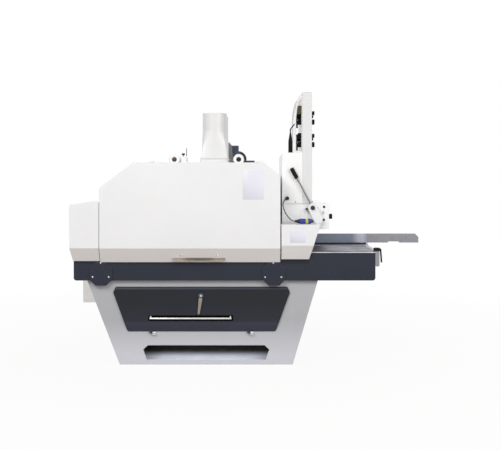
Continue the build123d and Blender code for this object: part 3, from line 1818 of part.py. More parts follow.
cabinet_left_x = -1069.0
cabinet_right_x = -520.0
cabinet_hang = 296.0
cabinet_height = 800.0
cabinet_low_z = base_height - cabinet_hang
cabinet_high_z = cabinet_low_z + cabinet_height
cabinet_depth = 230.0
cabinet_sheet = 3.0
cabinet_door_thick = 16.0
cabinet_pin_radius = 5.0
cabinet_pin_inset = 15.0
cabinet_pin_length = 12.0
cabinet_pin_block = 20.0
cabinet_end_gap = 1.0
cabinet_lock_inset = 45.0
cabinet_lock_radius = 15.0
cabinet_lock_rise = 5.0
gear_standoff = 8.0
gear_margin = 20.0
gear_stud = 5.0
gear_rows = 3
gear_gap = 3.0
gear_depth = 70.0
gear_nose = 12.0
trunk_height = 45.0
trunk_depth = 60.0
contactor_width = 54.0
contactor_height = 86.0
breaker_width = 34.0
breaker_height = 82.0
cabinet_front_y = base_half_y
cabinet_rear_y = cabinet_front_y + cabinet_depth
cabinet_door_gap = 2.0
cabinet_lip = 4.0
cabinet_door_y = cabinet_rear_y + cabinet_door_gap
cabinet_lip_y = cabinet_door_y + cabinet_door_thick + cabinet_lip
cabinet_pin_y = cabinet_door_y + cabinet_door_thick / 2
cabinet_pin_x = cabinet_left_x + cabinet_pin_inset


def electrical_cabinet():
    """Steel cabinet on the base back; its floor and roof run on past the door and hold the door pins."""
    walls = block(
        cabinet_left_x, cabinet_right_x, cabinet_front_y, cabinet_rear_y, cabinet_low_z, cabinet_high_z
    )
    wall = cabinet_sheet
    walls -= block(
        cabinet_left_x + wall,
        cabinet_right_x - wall,
        cabinet_front_y + wall,
        cabinet_rear_y,
        cabinet_low_z + wall,
        cabinet_high_z - wall,
    )
    for z, step in ((cabinet_low_z, 1), (cabinet_high_z - wall, -1)):
        walls += block(cabinet_left_x, cabinet_right_x, cabinet_rear_y, cabinet_lip_y, z, z + wall)
        pin_z = z + wall if step > 0 else z
        pin_start = (cabinet_pin_x, cabinet_pin_y, pin_z)
        walls += rod(pin_start, (0, 0, step), cabinet_pin_radius, cabinet_pin_length)
    return walls


def cabinet_gear():
    """Mounting plate with wiring trunks, contactors and a row of breakers, hung inside the cabinet."""
    plate_y = cabinet_front_y + cabinet_sheet + gear_standoff
    face_y = plate_y + cabinet_sheet
    x0 = cabinet_left_x + cabinet_sheet + gear_margin
    x1 = cabinet_right_x - cabinet_sheet - gear_margin
    z0 = cabinet_low_z + cabinet_sheet + gear_margin
    z1 = cabinet_high_z - cabinet_sheet - gear_margin
    pieces = [block(x0, x1, plate_y, face_y, z0, z1)]
    for x in (x0 + gear_margin, x1 - gear_margin):
        for z in (z0 + gear_margin, z1 - gear_margin):
            pieces[0] += rod((x, plate_y, z), (0, -1, 0), gear_stud, gear_standoff)
    row_pitch_z = (z1 - z0 - trunk_height) / gear_rows
    for i in range(gear_rows + 1):
        trunk_z = z0 + i * row_pitch_z
        pieces.append(block(x0, x1, face_y, face_y + trunk_depth, trunk_z, trunk_z + trunk_height))
    widths = (contactor_width, breaker_width)
    heights = (contactor_height, breaker_height)
    for row in range(gear_rows):
        kind = row % len(widths)
        width = widths[kind]
        middle_z = z0 + row * row_pitch_z + (row_pitch_z + trunk_height) / 2
        count = int((x1 - x0 - 2 * gear_margin) / (width + gear_gap))
        for i in range(count):
            x = x0 + gear_margin + i * (width + gear_gap)
            low_z = middle_z - heights[kind] / 2
            body = block(x, x + width, face_y, face_y + gear_depth, low_z, low_z + heights[kind])
            nose_low = middle_z - heights[kind] / 4
            pieces.append(
                body
                + block(
                    x + width / 6,
                    x + width - width / 6,
                    face_y + gear_depth,
                    face_y + gear_depth + gear_nose,
                    nose_low,
                    nose_low + heights[kind] / 2,
                )
            )
    return group(*pieces)


def cabinet_door():
    """Folded sheet door with a solid block round each pin and a round lock."""
    low = cabinet_low_z + cabinet_sheet + cabinet_end_gap
    high = cabinet_high_z - cabinet_sheet - cabinet_end_gap
    left = cabinet_left_x + cabinet_sheet
    wall = cabinet_sheet
    rear = cabinet_door_y + cabinet_door_thick
    door = block(left, cabinet_right_x, cabinet_door_y, rear, low, high)
    hollow = block(left + wall, cabinet_right_x - wall, cabinet_door_y, rear - wall, low + wall, high - wall)
    block_right = cabinet_pin_x + cabinet_pin_inset
    for z in (low, high - cabinet_pin_block):
        hollow -= block(left, block_right, cabinet_door_y, rear, z, z + cabinet_pin_block)
    door -= hollow
    bore = cabinet_pin_radius + running
    for z, step in ((low, 1), (high, -1)):
        door -= rod((cabinet_pin_x, cabinet_pin_y, z), (0, 0, step), bore, cabinet_pin_length)
    lock_x = cabinet_right_x - cabinet_lock_inset
    return door + rod((lock_x, rear, (low + high) / 2), (0, 1, 0), cabinet_lock_radius, cabinet_lock_rise)


# Service door with its bar handle and latch

service_gap = 0.5
service_rear_y = -base_half_y - service_gap
service_front_y = service_rear_y - service_thick
service_corner = 17.0
service_bevel = 6.0
service_top_band = 19.0
service_low_band = 43.0
tray_depth = 7.0
tray_end = 12.0
tray_corner = 4.0
latch_boss = 18.0
latch_stem = 8.0
latch_tip = 7.3
latch_plate = 6.0
latch_gap = 1.0
latch_root = 13.0
latch_root_drop = 26.0


def service_door():
    """Drop-down door with bevelled bands, a slot for the bar handle and two lift-off hinges."""
    door = prism_xz(service_outline(0), service_front_y, service_rear_y)
    door = fillet(door.edges().filter_by(Axis.Y), service_corner)
    x0 = service_x - service_shoulder_half
    x1 = service_x + service_shoulder_half
    bevel_back = service_front_y + service_bevel
    for edge_z, band_z in (
        (service_top_z, service_top_z - service_top_band),
        (service_low_z, service_low_z + service_low_band),
    ):
        wedge = [(service_front_y, edge_z), (bevel_back, edge_z), (service_front_y, band_z)]
        door -= prism_yz(wedge, x0, x1)
    slot = block(
        bar_left_x - tray_end,
        bar_right_x + tray_end,
        service_front_y,
        service_front_y + tray_depth,
        bar_z - tray_half_z,
        bar_z + tray_half_z,
    )
    door -= fillet(slot.edges().filter_by(Axis.Y), tray_corner)
    for side in (-1, 1):
        x = service_x + side * hinge_half_span
        length = hinge_length / 2
        knuckle_x0 = x - sliding - length
        start = (knuckle_x0, service_hinge_y, service_hinge_z)
        leaf = block(
            knuckle_x0,
            knuckle_x0 + length,
            service_hinge_y,
            service_front_y + service_thick / 2,
            service_hinge_z,
            service_hinge_z + 3 * hinge_radius,
        )
        leaf += rod(start, (1, 0, 0), hinge_radius, length)
        door += leaf
        door -= rod(start, (1, 0, 0), hinge_pin_radius + running, length)
    stem = rod((latch_x, service_front_y, latch_z), (0, 1, 0), latch_stem + running, service_thick)
    return door - stem


def service_handle():
    """Long bar with its ends turned up and back into the door's slot."""
    bar_y = service_front_y + tray_depth - bar_standoff
    bar = rod((bar_left_x, bar_y, bar_z), (1, 0, 0), bar_radius, bar_right_x - bar_left_x)
    for x in (bar_left_x + bar_radius, bar_right_x - bar_radius):
        bar += rod((x, bar_y, bar_z), (0, 0, 1), bar_post_radius, bar_upturn + bar_post_radius)
        bar += rod((x, bar_y, bar_z + bar_upturn), (0, 1, 0), bar_post_radius, bar_standoff)
    return bar


def service_latch():
    """Latch boss and tapered lever, leaning a little to the outfeed side."""
    boss_y = service_front_y - latch_plate - latch_gap
    latch = rod((latch_x, boss_y - latch_plate, latch_z), (0, 1, 0), latch_boss, 2 * latch_plate)
    latch += rod((latch_x, boss_y, latch_z), (0, 1, 0), latch_stem, service_rear_y - boss_y)
    lean = math.radians(latch_lean)
    circles = []
    for reach, radius in ((latch_root_drop, latch_root), (latch_length, latch_tip)):
        x = latch_x - reach * math.sin(lean)
        circles.append(Pos(x, latch_z - reach * math.cos(lean)) * Circle(radius))
    edges = [edge for circle in circles for edge in circle.edges()]
    plane = Plane(origin=(0, boss_y, 0), x_dir=(1, 0, 0), z_dir=(0, -1, 0))
    return latch + extrude(plane * make_hull(edges), amount=latch_plate)


# Console control heads

head_gap = 7.0
head_stem = 24.0
selector_radius = 15.0
selector_wing = 8.0
button_radius = 13.0
button_length = 18.0
mushroom_radius = 20.0
head_length = 24.0


def control_head(y, z, radius, length):
    """A round head on a stem that runs through the console face."""
    face_x = console_right_x
    stem = rod((face_x - head_stem, y, z), (1, 0, 0), button_bore, head_stem + head_gap)
    head = rod((face_x + head_gap, y, z), (1, 0, 0), radius, length)
    return stem + fillet(head.edges().group_by(Axis.X)[-1], radius / 4)


def selector(y, z):
    head = control_head(y, z, selector_radius, head_length / 2)
    grip_x = console_right_x + head_gap
    half = selector_wing / 2
    wing = block(grip_x, grip_x + head_length, y - half, y + half, z - selector_radius, z + selector_radius)
    return head + wing


def push_button(y, z):
    return control_head(y, z, button_radius, button_length)


def mushroom(y, z):
    return control_head(y, z, mushroom_radius, head_length)


# Export

def plain_nodes():
    return [
        base_front,
        base_walls,
        base_decks,
        bed_front_plate,
        bed_frame,
        tables,
        feed_chain,
        drive_shaft,
        idler_shaft,
        feed_gearmotor,
        shaft_covers,
        hood_shell,
        hood_door,
        door_handle,
        outfeed_cover,
        infeed_side_cover,
        finger_housing,
        infeed_hood,
        console_panel,
        console_wiring,
        dust_ports,
        lifting_eyes,
        lubricator,
        lubricator_knob,
        column,
        lift_motor,
        saw_carriage,
        arbor,
        saw_blades,
        arbor_collars,
        v_belts,
        belt_case,
        main_motor,
        motor_pulley,
        infeed_beam,
        outfeed_beam,
        kickback_lever,
        lever_grip,
        kickback_fingers,
        star_knob,
        fence,
        fence_rail,
        fence_clamp,
        position_sensor,
        sensor_cord,
        electrical_cabinet,
        cabinet_gear,
        cabinet_door,
        service_door,
        service_handle,
        service_latch,
    ]


def all_nodes():
    nodes = {make.__name__: make() for make in plain_nodes()}
    for i, x in enumerate((*infeed_roller_xs, *outfeed_roller_xs)):
        nodes[f"pressure_roller_{i + 1}"] = pressure_roller(x)
    makers = {"selector": selector, "button": push_button, "mushroom": mushroom}
    for name, (y, z) in device_places().items():
        nodes[name] = makers[name.split("_")[-1]](y, z)
    return nodes


os.makedirs("parts", exist_ok=True)
for node_name, shape in all_nodes().items():
    export_step(shape, f"parts/{node_name}.step")

cord_length = FilletPolyline(*cord_points, radius=cord_radii()).length
print("cord radii", [round(radius, 1) for radius in cord_radii()])
cord_volume = math.pi * cord_radius**2 * cord_length
print("cord length", round(cord_length, 1), "volume ratio", sensor_cord().volume / cord_volume)
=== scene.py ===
import json
import math

import bmesh
import bpy
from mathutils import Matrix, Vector
from mathutils.bvhtree import BVHTree


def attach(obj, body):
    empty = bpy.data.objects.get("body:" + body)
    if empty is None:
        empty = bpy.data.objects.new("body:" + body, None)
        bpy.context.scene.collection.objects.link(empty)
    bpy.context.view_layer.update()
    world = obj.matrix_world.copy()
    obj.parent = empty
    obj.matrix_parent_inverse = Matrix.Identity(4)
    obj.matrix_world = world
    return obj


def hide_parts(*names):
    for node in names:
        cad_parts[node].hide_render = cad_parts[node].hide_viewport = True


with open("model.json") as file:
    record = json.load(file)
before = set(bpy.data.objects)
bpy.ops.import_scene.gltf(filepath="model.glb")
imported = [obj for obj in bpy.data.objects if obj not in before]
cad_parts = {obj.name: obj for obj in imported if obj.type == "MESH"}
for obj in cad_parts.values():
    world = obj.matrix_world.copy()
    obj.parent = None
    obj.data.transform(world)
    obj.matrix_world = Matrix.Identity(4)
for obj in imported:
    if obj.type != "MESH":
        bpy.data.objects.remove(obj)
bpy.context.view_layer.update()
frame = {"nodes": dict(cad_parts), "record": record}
nodes = frame["nodes"]
scene = bpy.context.scene
scene.view_settings.view_transform = "Standard"


def srgb(red, green, blue):
    """A linear colour from 8-bit screen values."""
    values = []
    for channel in (red, green, blue):
        share = channel / 255
        values.append(share / 12.92 if share <= 0.04045 else ((share + 0.055) / 1.055) ** 2.4)
    return (*values, 1.0)


def shaded(color, share):
    """A colour with a share of its light."""
    return tuple(channel * share for channel in color[:3]) + (1.0,)


# Camera at the photograph's place

camera_place = (0.314, -6.53, 1.324)
camera_lens = 60.8
camera_sensor = 36.0
camera_shift_y = -0.09
camera_data = bpy.data.cameras.new("camera")
camera_data.lens = camera_lens
camera_data.sensor_width = camera_sensor
camera_data.shift_y = camera_shift_y
camera = bpy.data.objects.new("camera", camera_data)
camera.location = camera_place
camera.rotation_euler = (math.radians(90), 0, 0)
scene.collection.objects.link(camera)
scene.camera = camera


# Shader building

bevel_samples = 4
edge_turn = (0.02, 0.25)

# Directions that count for a distance from an axis along Y
round_y = (1.0, 0.0, 1.0)


class Graph:
    """A node tree of a material or world, built node by node."""

    def __init__(self, owner):
        owner.use_nodes = True
        self.tree = owner.node_tree

    def add(self, kind, inputs=None, **settings):
        node = self.tree.nodes.new(kind)
        for key, value in settings.items():
            setattr(node, key, value)
        for key, value in (inputs or {}).items():
            self.feed(node.inputs[key], value)
        return node

    def feed(self, socket, value):
        """Links a socket to another, or gives it a plain value."""
        if isinstance(value, bpy.types.NodeSocket):
            self.tree.links.new(value, socket)
        else:
            socket.default_value = value

    def math(self, operation, first, second=0.0):
        return self.add("ShaderNodeMath", {0: first, 1: second}, operation=operation).outputs[0]

    def remap(self, value, low, high, to_low=0.0, to_high=1.0):
        inputs = {"Value": value, "From Min": low, "From Max": high, "To Min": to_low, "To Max": to_high}
        return self.add("ShaderNodeMapRange", inputs).outputs["Result"]

    def both(self, first, second):
        """Two masks, or a mask and a share, at once."""
        return self.math("MULTIPLY", first, second)

    def either(self, first, second):
        return self.math("MAXIMUM", first, second)

    def seen_directly(self):
        """1 for rays from the camera, off gloss or through glass, 0 for the rest."""
        path = self.add("ShaderNodeLightPath").outputs
        first = self.either(path["Is Camera Ray"], path["Is Glossy Ray"])
        return self.either(first, path["Is Transmission Ray"])

    def blend(self, share, first, second, output):
        """Shows a blend of two shaders at an output of the given kind."""
        mixed = self.add("ShaderNodeMixShader", {0: share, 1: first, 2: second})
        self.add(output, {"Surface": mixed.outputs[0]})


class Shader(Graph):
    """One procedural surface material."""

    def __init__(self, name):
        self.material = bpy.data.materials.new(name)
        super().__init__(self.material)
        self.bsdf = self.tree.nodes["Principled BSDF"]
        self.place = self.add("ShaderNodeTexCoord").outputs["Object"]
        self.geometry = self.add("ShaderNodeNewGeometry")

    def set(self, **values):
        """Sets or links sockets of the surface shader; an underscore stands for a space."""
        for key, value in values.items():
            self.feed(self.bsdf.inputs[key.replace("_", " ")], value)

    def noise(self, scale, detail=3.0, roughness=0.55, stretch=None, place=None):
        where = place or self.place
        if stretch:
            where = self.add("ShaderNodeMapping", {"Vector": where, "Scale": stretch}).outputs["Vector"]
        inputs = {"Vector": where, "Scale": scale, "Detail": detail, "Roughness": roughness}
        return self.add("ShaderNodeTexNoise", inputs).outputs["Fac"]

    def vector(self, operation, first, second):
        return self.add("ShaderNodeVectorMath", {0: first, 1: second}, operation=operation)

    def mix(self, share, first, second, blend="MIX"):
        """A blend of two colours."""
        inputs = {0: share, 6: first, 7: second}
        return self.add("ShaderNodeMix", inputs, data_type="RGBA", blend_type=blend).outputs[2]

    def mix_value(self, share, first, second):
        """A blend of two numbers."""
        return self.add("ShaderNodeMix", {0: share, 2: first, 3: second}, data_type="FLOAT").outputs[0]

    def axis(self, letter):
        """One coordinate of the object's own space, in metres."""
        return self.add("ShaderNodeSeparateXYZ", {"Vector": self.place}).outputs[letter]

    def facing_up(self):
        return self.add("ShaderNodeSeparateXYZ", {"Vector": self.geometry.outputs["Normal"]}).outputs["Z"]

    def soft_edge(self, radius):
        """A normal that rounds the edges off."""
        return self.add("ShaderNodeBevel", {"Radius": radius}, samples=bevel_samples).outputs["Normal"]

    def edges(self, radius):
        """A mask that is 1 along the sharp edges."""
        normal = self.geometry.outputs["Normal"]
        product = self.vector("DOT_PRODUCT", self.soft_edge(radius), normal)
        turned = self.math("SUBTRACT", 1.0, product.outputs["Value"])
        return self.remap(turned, *edge_turn)

    def bump(self, height, strength, distance, normal=None):
        node = self.add("ShaderNodeBump", {"Height": height, "Strength": strength, "Distance": distance})
        if normal:
            self.feed(node.inputs["Normal"], normal)
        return node.outputs["Normal"]

    def zone(self, **spans):
        """1 inside a box given by spans of X, Y and Z in metres."""
        mask = 1.0
        for letter, (low, high) in spans.items():
            along = self.axis(letter)
            inside = self.both(self.math("GREATER_THAN", along, low), self.math("LESS_THAN", along, high))
            mask = self.both(inside, mask)
        return mask

    def distance(self, point, kept):
        """Distance from a point, measured along the kept directions only."""
        away = self.vector("SUBTRACT", self.place, point).outputs["Vector"]
        flat = self.vector("MULTIPLY", away, kept).outputs["Vector"]
        return self.add("ShaderNodeVectorMath", {0: flat}, operation="LENGTH").outputs["Value"]

    def within(self, point, kept, radius):
        """1 nearer to a point than the radius."""
        return self.math("LESS_THAN", self.distance(point, kept), radius)

    def paint(self, color):
        """A colour as it is, or the one that a function makes for this shader."""
        return color(self) if callable(color) else color


# Shared colours

white = srgb(238, 238, 239)
# Lighter white as painted light on the housing and infeed hood, which lie in the hood door's shadow
housing_white_painted_light = srgb(248, 248, 248)
# Greyer white: the white paint with painted shade, on the dust ports and console
port_white_painted_shade = srgb(226, 226, 226)
# Warm white of the cabinet, made lighter as painted light because the cabinet stands in shade
cabinet_warm_white_painted_light = srgb(255, 252, 250)
primer = srgb(150, 148, 146)
cool_grey = srgb(180, 181, 185)
casting_grey = srgb(150, 154, 158)
dust_pale = srgb(228, 225, 219)
dust_grey = srgb(104, 107, 116)
dust_dark = srgb(70, 74, 84)
anthracite = srgb(29, 34, 49)
motor_grey = srgb(46, 50, 58)
# Near black for painted shade in hollows and gaps
shade_black = srgb(3, 3, 4)
black = srgb(13, 13, 15)
rubber_black = srgb(17, 17, 19)
paint_edge = srgb(134, 139, 150)
steel_edge = srgb(226, 228, 230)
iron_edge = srgb(205, 207, 212)
steel_grey = srgb(190, 192, 194)
blade_grey = srgb(200, 202, 206)
ringed_grey = srgb(204, 206, 210)
rail_grey = srgb(166, 166, 171)
bar_bright = srgb(236, 234, 228)
iron_grey = srgb(98, 99, 107)
iron_dark = srgb(54, 55, 62)
chain_grey = srgb(136, 137, 144)
chain_dark = srgb(76, 77, 84)

# Shades that multiply a colour, and lights that screen it
slow_shade = (0.965, 0.965, 0.965, 1.0)
cloud_shade = (0.80, 0.80, 0.80, 1.0)
line_shade = (0.52, 0.52, 0.54, 1.0)
mark_shade = (0.30, 0.30, 0.31, 1.0)
grime_shade = (0.72, 0.71, 0.70, 1.0)
fade_light = (0.025, 0.025, 0.025, 1.0)
rubbed_light = (0.55, 0.55, 0.56, 1.0)


# Finishes

def enamel(name, color, rough, peel=0.10):
    """Sprayed enamel on sheet steel: orange peel, slow waves, settled dust and thin edge wear."""
    dust_share = 0.5
    streak_share = 0.20
    wear_share = 0.45
    shader = Shader(name)
    broad = shader.remap(shader.noise(scale=2.3, detail=4.0), 0.3, 0.7)
    base = shader.mix(broad, shader.paint(color), slow_shade, "MULTIPLY")
    streaks = shader.noise(scale=9.0, detail=5.0, roughness=0.65, stretch=(1.0, 1.0, 0.22))
    streaks = shader.remap(streaks, 0.58, 0.82, to_high=streak_share)
    flat = shader.remap(shader.facing_up(), 0.35, 0.95)
    settled = shader.math("ADD", shader.both(flat, dust_share), streaks)
    base = shader.mix(settled, base, dust_pale)
    scuffs = shader.remap(shader.noise(scale=38.0, detail=6.0, roughness=0.7), 0.50, 0.66)
    worn = shader.both(shader.edges(radius=0.004), scuffs)
    base = shader.mix(shader.both(worn, wear_share), base, primer)
    roughness = shader.remap(shader.noise(scale=26.0, detail=5.0), 0.25, 0.75, rough - 0.05, rough + 0.07)
    soft = shader.soft_edge(radius=0.003)
    waves = shader.bump(shader.noise(scale=3.2, detail=2.0), strength=0.18, distance=0.004, normal=soft)
    grain = shader.bump(shader.noise(scale=520.0, detail=2.0), strength=peel, distance=0.0006, normal=waves)
    shader.set(Base_Color=base, Roughness=roughness, Normal=grain, Coat_Weight=0.18, Coat_Roughness=0.22)
    return shader.material


def textured(name, color, dust, edge_color, rough=0.52, shine=0.35):
    """Coarse dark paint with pale dust on its upper faces and rubbed edges."""
    fleck_share = 0.10
    dust_share = 0.45
    wear_share = 0.6
    shader = Shader(name)
    cloud = shader.remap(shader.noise(scale=5.0, detail=5.0), 0.3, 0.7)
    base = shader.mix(cloud, shader.paint(color), cloud_shade, "MULTIPLY")
    flecks = shader.remap(shader.noise(scale=240.0, detail=3.0), 0.56, 0.72)
    base = shader.mix(shader.both(flecks, fleck_share), base, dust)
    flat = shader.remap(shader.facing_up(), 0.3, 0.95)
    settled = shader.both(flat, shader.noise(scale=14.0, detail=4.0))
    base = shader.mix(shader.both(settled, dust_share), base, dust)
    scuffs = shader.remap(shader.noise(scale=52.0, detail=6.0, roughness=0.7), 0.44, 0.62)
    worn = shader.both(shader.edges(radius=0.003), scuffs)
    base = shader.mix(shader.both(worn, wear_share), base, edge_color)
    roughness = shader.remap(shader.noise(scale=60.0, detail=4.0), 0.2, 0.8, rough - 0.08, rough + 0.10)
    soft = shader.soft_edge(radius=0.0025)
    grain = shader.bump(shader.noise(scale=900.0, detail=3.0), strength=0.35, distance=0.0005, normal=soft)
    shader.set(Base_Color=base, Roughness=roughness, Normal=grain, Specular_IOR_Level=shine)
    return shader.material


def brushed(name, color, stretch, rough=0.30, aniso=0.4, center=None):
    """Ground steel with fine lines, a few handling marks and bright edges; rings if it has a centre."""
    mark_share = 0.30
    edge_share = 0.35
    shader = Shader(name)
    place = shader.place
    if center:
        radius = shader.distance(center, round_y)
        place = shader.add("ShaderNodeCombineXYZ", {"X": radius, "Y": shader.axis("Y")}).outputs["Vector"]
    lines = shader.noise(scale=130.0, detail=6.0, roughness=0.7, stretch=stretch, place=place)
    base = shader.mix(shader.remap(lines, 0.32, 0.68), shader.paint(color), line_shade, "MULTIPLY")
    marks = shader.remap(shader.noise(scale=11.0, detail=5.0, roughness=0.6), 0.52, 0.75)
    base = shader.mix(shader.both(marks, mark_share), base, mark_shade, "MULTIPLY")
    base = shader.mix(shader.both(shader.edges(radius=0.002), edge_share), base, steel_edge)
    roughness = shader.remap(lines, 0.25, 0.75, rough - 0.07, rough + 0.10)
    soft = shader.soft_edge(radius=0.0012)
    normal = shader.bump(lines, strength=0.10, distance=0.0004, normal=soft)
    shader.set(Base_Color=base, Roughness=roughness, Metallic=1.0, Normal=normal, Anisotropic=aniso)
    return shader.material


def machined_iron(name, color, dark, metal, rough, oil_share=0.35, edge_share=0.55):
    """Planed cast iron: cutter lines across the feed, dark specks, an oily bloom and bright edges."""
    speck_share = 0.55
    shader = Shader(name)
    specks = shader.remap(shader.noise(scale=190.0, detail=4.0, roughness=0.65), 0.48, 0.66)
    base = shader.mix(shader.both(specks, speck_share), shader.paint(color), dark)
    bloom = shader.remap(shader.noise(scale=7.0, detail=5.0, roughness=0.6), 0.42, 0.72)
    base = shader.mix(shader.both(bloom, oil_share), base, shaded(dark, 0.5))
    base = shader.mix(shader.both(shader.edges(radius=0.0025), edge_share), base, iron_edge)
    lines = shader.noise(scale=70.0, detail=4.0, roughness=0.6, stretch=(6.0, 0.25, 1.0))
    roughness = shader.remap(shader.math("ADD", lines, bloom), 0.4, 1.3, rough - 0.10, rough + 0.12)
    soft = shader.soft_edge(radius=0.0015)
    normal = shader.bump(shader.math("ADD", lines, specks), strength=0.14, distance=0.0005, normal=soft)
    shader.set(Base_Color=base, Roughness=roughness, Metallic=metal, Normal=normal)
    return shader.material


def moulded(name, color, rough=0.48, grain=1100.0, shine=0.5):
    """Moulded plastic with a fine grain, slight fading and rubbed edges."""
    fade_share = 0.4
    edge_share = 0.5
    shader = Shader(name)
    faded = shader.mix(1.0, color, fade_light, "SCREEN")
    patches = shader.remap(shader.noise(scale=30.0, detail=4.0), 0.4, 0.75)
    base = shader.mix(shader.both(patches, fade_share), color, faded)
    base = shader.mix(shader.both(shader.edges(radius=0.0015), edge_share), base, faded)
    roughness = shader.remap(shader.noise(scale=80.0, detail=4.0), 0.25, 0.75, rough - 0.08, rough + 0.10)
    soft = shader.soft_edge(radius=0.0012)
    normal = shader.bump(shader.noise(scale=grain, detail=2.0), strength=0.22, distance=0.0003, normal=soft)
    shader.set(Base_Color=base, Roughness=roughness, Normal=normal, Specular_IOR_Level=shine)
    return shader.material


def shade_sheet(name):
    """A dull black sheet with a fine nap and a little dust, laid as painted shade in hollows."""
    dust_share = 0.25
    dust = (0.02, 0.02, 0.022, 1.0)
    shader = Shader(name)
    nap = shader.noise(scale=700.0, detail=3.0)
    base = shader.mix(shader.remap(nap, 0.55, 0.80, to_high=dust_share), shade_black, dust)
    rough = shader.remap(nap, 0.2, 0.8, 0.88, 1.0)
    normal = shader.bump(nap, strength=0.3, distance=0.0004)
    shader.set(Base_Color=base, Roughness=rough, Normal=normal, Specular_IOR_Level=0.08)
    return shader.material


def assorted(name, ground, layers, shine=0.5):
    """One node with several finishes: each layer is a mask with a colour, a metalness and a roughness."""
    grime_share = 0.5
    edge_share = 0.22
    shader = Shader(name)
    color, metal, rough = ground
    for mask, (layer_color, layer_metal, layer_rough) in layers(shader):
        color = shader.mix(mask, color, layer_color)
        metal = shader.mix_value(mask, metal, layer_metal)
        rough = shader.mix_value(mask, rough, layer_rough)
    grime = shader.remap(shader.noise(scale=24.0, detail=5.0, roughness=0.6), 0.45, 0.80)
    color = shader.mix(shader.both(grime, grime_share), color, grime_shade, "MULTIPLY")
    color = shader.mix(shader.both(shader.edges(radius=0.0015), edge_share), color, rubbed_light, "SCREEN")
    lines = shader.noise(scale=210.0, detail=4.0, roughness=0.6)
    rough = shader.math("ADD", rough, shader.remap(lines, 0.25, 0.75, -0.06, 0.08))
    soft = shader.soft_edge(radius=0.0012)
    normal = shader.bump(lines, strength=0.10, distance=0.0004, normal=soft)
    shader.set(Base_Color=color, Metallic=metal, Roughness=rough, Normal=normal, Specular_IOR_Level=shine)
    return shader.material


# Colour, metalness and roughness of finishes that several nodes share

black_finish = (black, 0.0, 0.45)
white_finish = (white, 0.0, 0.36)
steel_finish = (srgb(196, 197, 199), 1.0, 0.28)
zinc_finish = (srgb(176, 180, 184), 0.9, 0.42)

# A bound beyond every part of the machine
far = 9.0


# Nodes with several finishes; places are in metres, a finish is a colour, a metalness and a roughness

lever_pivot = (0.770, 0.0, 1.122)
cam_back_y = -0.3855
cam_face_y = -0.3965
cam_radius = 0.0325
cap_radius = 0.0165
lever_finish = (srgb(118, 119, 122), 1.0, 0.34)


def lever_layers(shader):
    """A white cam plate on a steel shaft, with a black cap."""
    depth = shader.axis("Y")
    plate = shader.math("LESS_THAN", depth, cam_back_y)
    hub = shader.within(lever_pivot, round_y, cam_radius)
    lower = shader.zone(Z=(0.0, lever_pivot[2]))
    front = shader.math("LESS_THAN", depth, cam_face_y)
    cap = shader.both(front, shader.within(lever_pivot, round_y, cap_radius))
    return [(shader.both(plate, shader.either(hub, lower)), white_finish), (cap, black_finish)]


sensor_boot_x = 0.675
sensor_nose_x = 0.747
sensor_band_x = (0.716, 0.733)
gland_low_z = 1.15
sensor_finish = (srgb(46, 60, 150), 0.0, 0.32)
sensor_boot_finish = (srgb(22, 22, 24), 0.0, 0.55)
sensor_band_finish = (srgb(190, 186, 60), 0.0, 0.4)
sensor_nose_finish = (srgb(38, 44, 92), 0.0, 0.4)


def sensor_layers(shader):
    """A blue sensor with a dark boot and nose and a yellow band; its gland is black."""
    return [
        (shader.zone(X=(0.0, sensor_boot_x)), sensor_boot_finish),
        (shader.zone(X=sensor_band_x), sensor_band_finish),
        (shader.zone(X=(sensor_nose_x, far)), sensor_nose_finish),
        (shader.zone(Z=(gland_low_z, far)), black_finish),
    ]


fence_low_z = 0.825
rail_end_x = 1.2395
fence_left_x = (1.17, 1.12)
# Where the painted highlight on the fence rises and falls
fence_highlight_from_x = (1.13, 1.18)
fence_highlight_to_x = (1.25, 1.21)
fence_highlight_share = 0.8
fence_finish = (srgb(140, 139, 145), 0.85, 0.36)
fence_left_finish = (srgb(132, 138, 153), 0.85, 0.36)
fence_highlight_finish = (srgb(190, 192, 206), 0.85, 0.30)
# Dark foot: partly a dark slide strip, partly painted shade of the gap between fence and table
fence_foot_and_shade_finish = (srgb(40, 41, 46), 0.6, 0.5)


def fence_layers(shader):
    """Aluminium with a painted highlight at one place, over a dark foot with a steel hook; the foot is
    partly a dark slide strip and partly painted shade of the gap under the fence.
    """
    under = shader.zone(Z=(0.0, fence_low_z))
    hook = shader.both(under, shader.zone(X=(rail_end_x, far)))
    along = shader.axis("X")
    left = shader.remap(along, *fence_left_x)
    rubbed = shader.both(shader.remap(along, *fence_highlight_from_x), shader.remap(along, *fence_highlight_to_x))
    return [
        (left, fence_left_finish),
        (shader.both(rubbed, fence_highlight_share), fence_highlight_finish),
        (under, fence_foot_and_shade_finish),
        (hook, steel_finish),
    ]


latch_pivot = (-0.037, 0.0, 0.496)
latch_boss_radius = 0.0185
latch_pin_radius = 0.006
latch_lever_z = 0.482
latch_finish = (srgb(90, 90, 94), 1.0, 0.25)
latch_lever_finish = (srgb(150, 140, 127), 0.7, 0.36)
latch_boss_finish = (srgb(96, 99, 112), 1.0, 0.22)
latch_pin_finish = (srgb(226, 226, 228), 1.0, 0.16)


def latch_layers(shader):
    """A dark round boss with a bright pin in its middle, and a warmer lever below."""
    return [
        (shader.zone(Z=(0.0, latch_lever_z)), latch_lever_finish),
        (shader.within(latch_pivot, round_y, latch_boss_radius), latch_boss_finish),
        (shader.within(latch_pivot, round_y, latch_pin_radius), latch_pin_finish),
    ]


bottle_right_x = -0.212
pump_left_x = -0.204
pump_top_z = 1.497
vent_left_x = -0.152
oiler_finish = (srgb(236, 236, 232), 0.0, 0.34)
bottle_finish = (srgb(98, 74, 50), 0.0, 0.30)
vent_finish = (srgb(86, 86, 92), 1.0, 0.3)


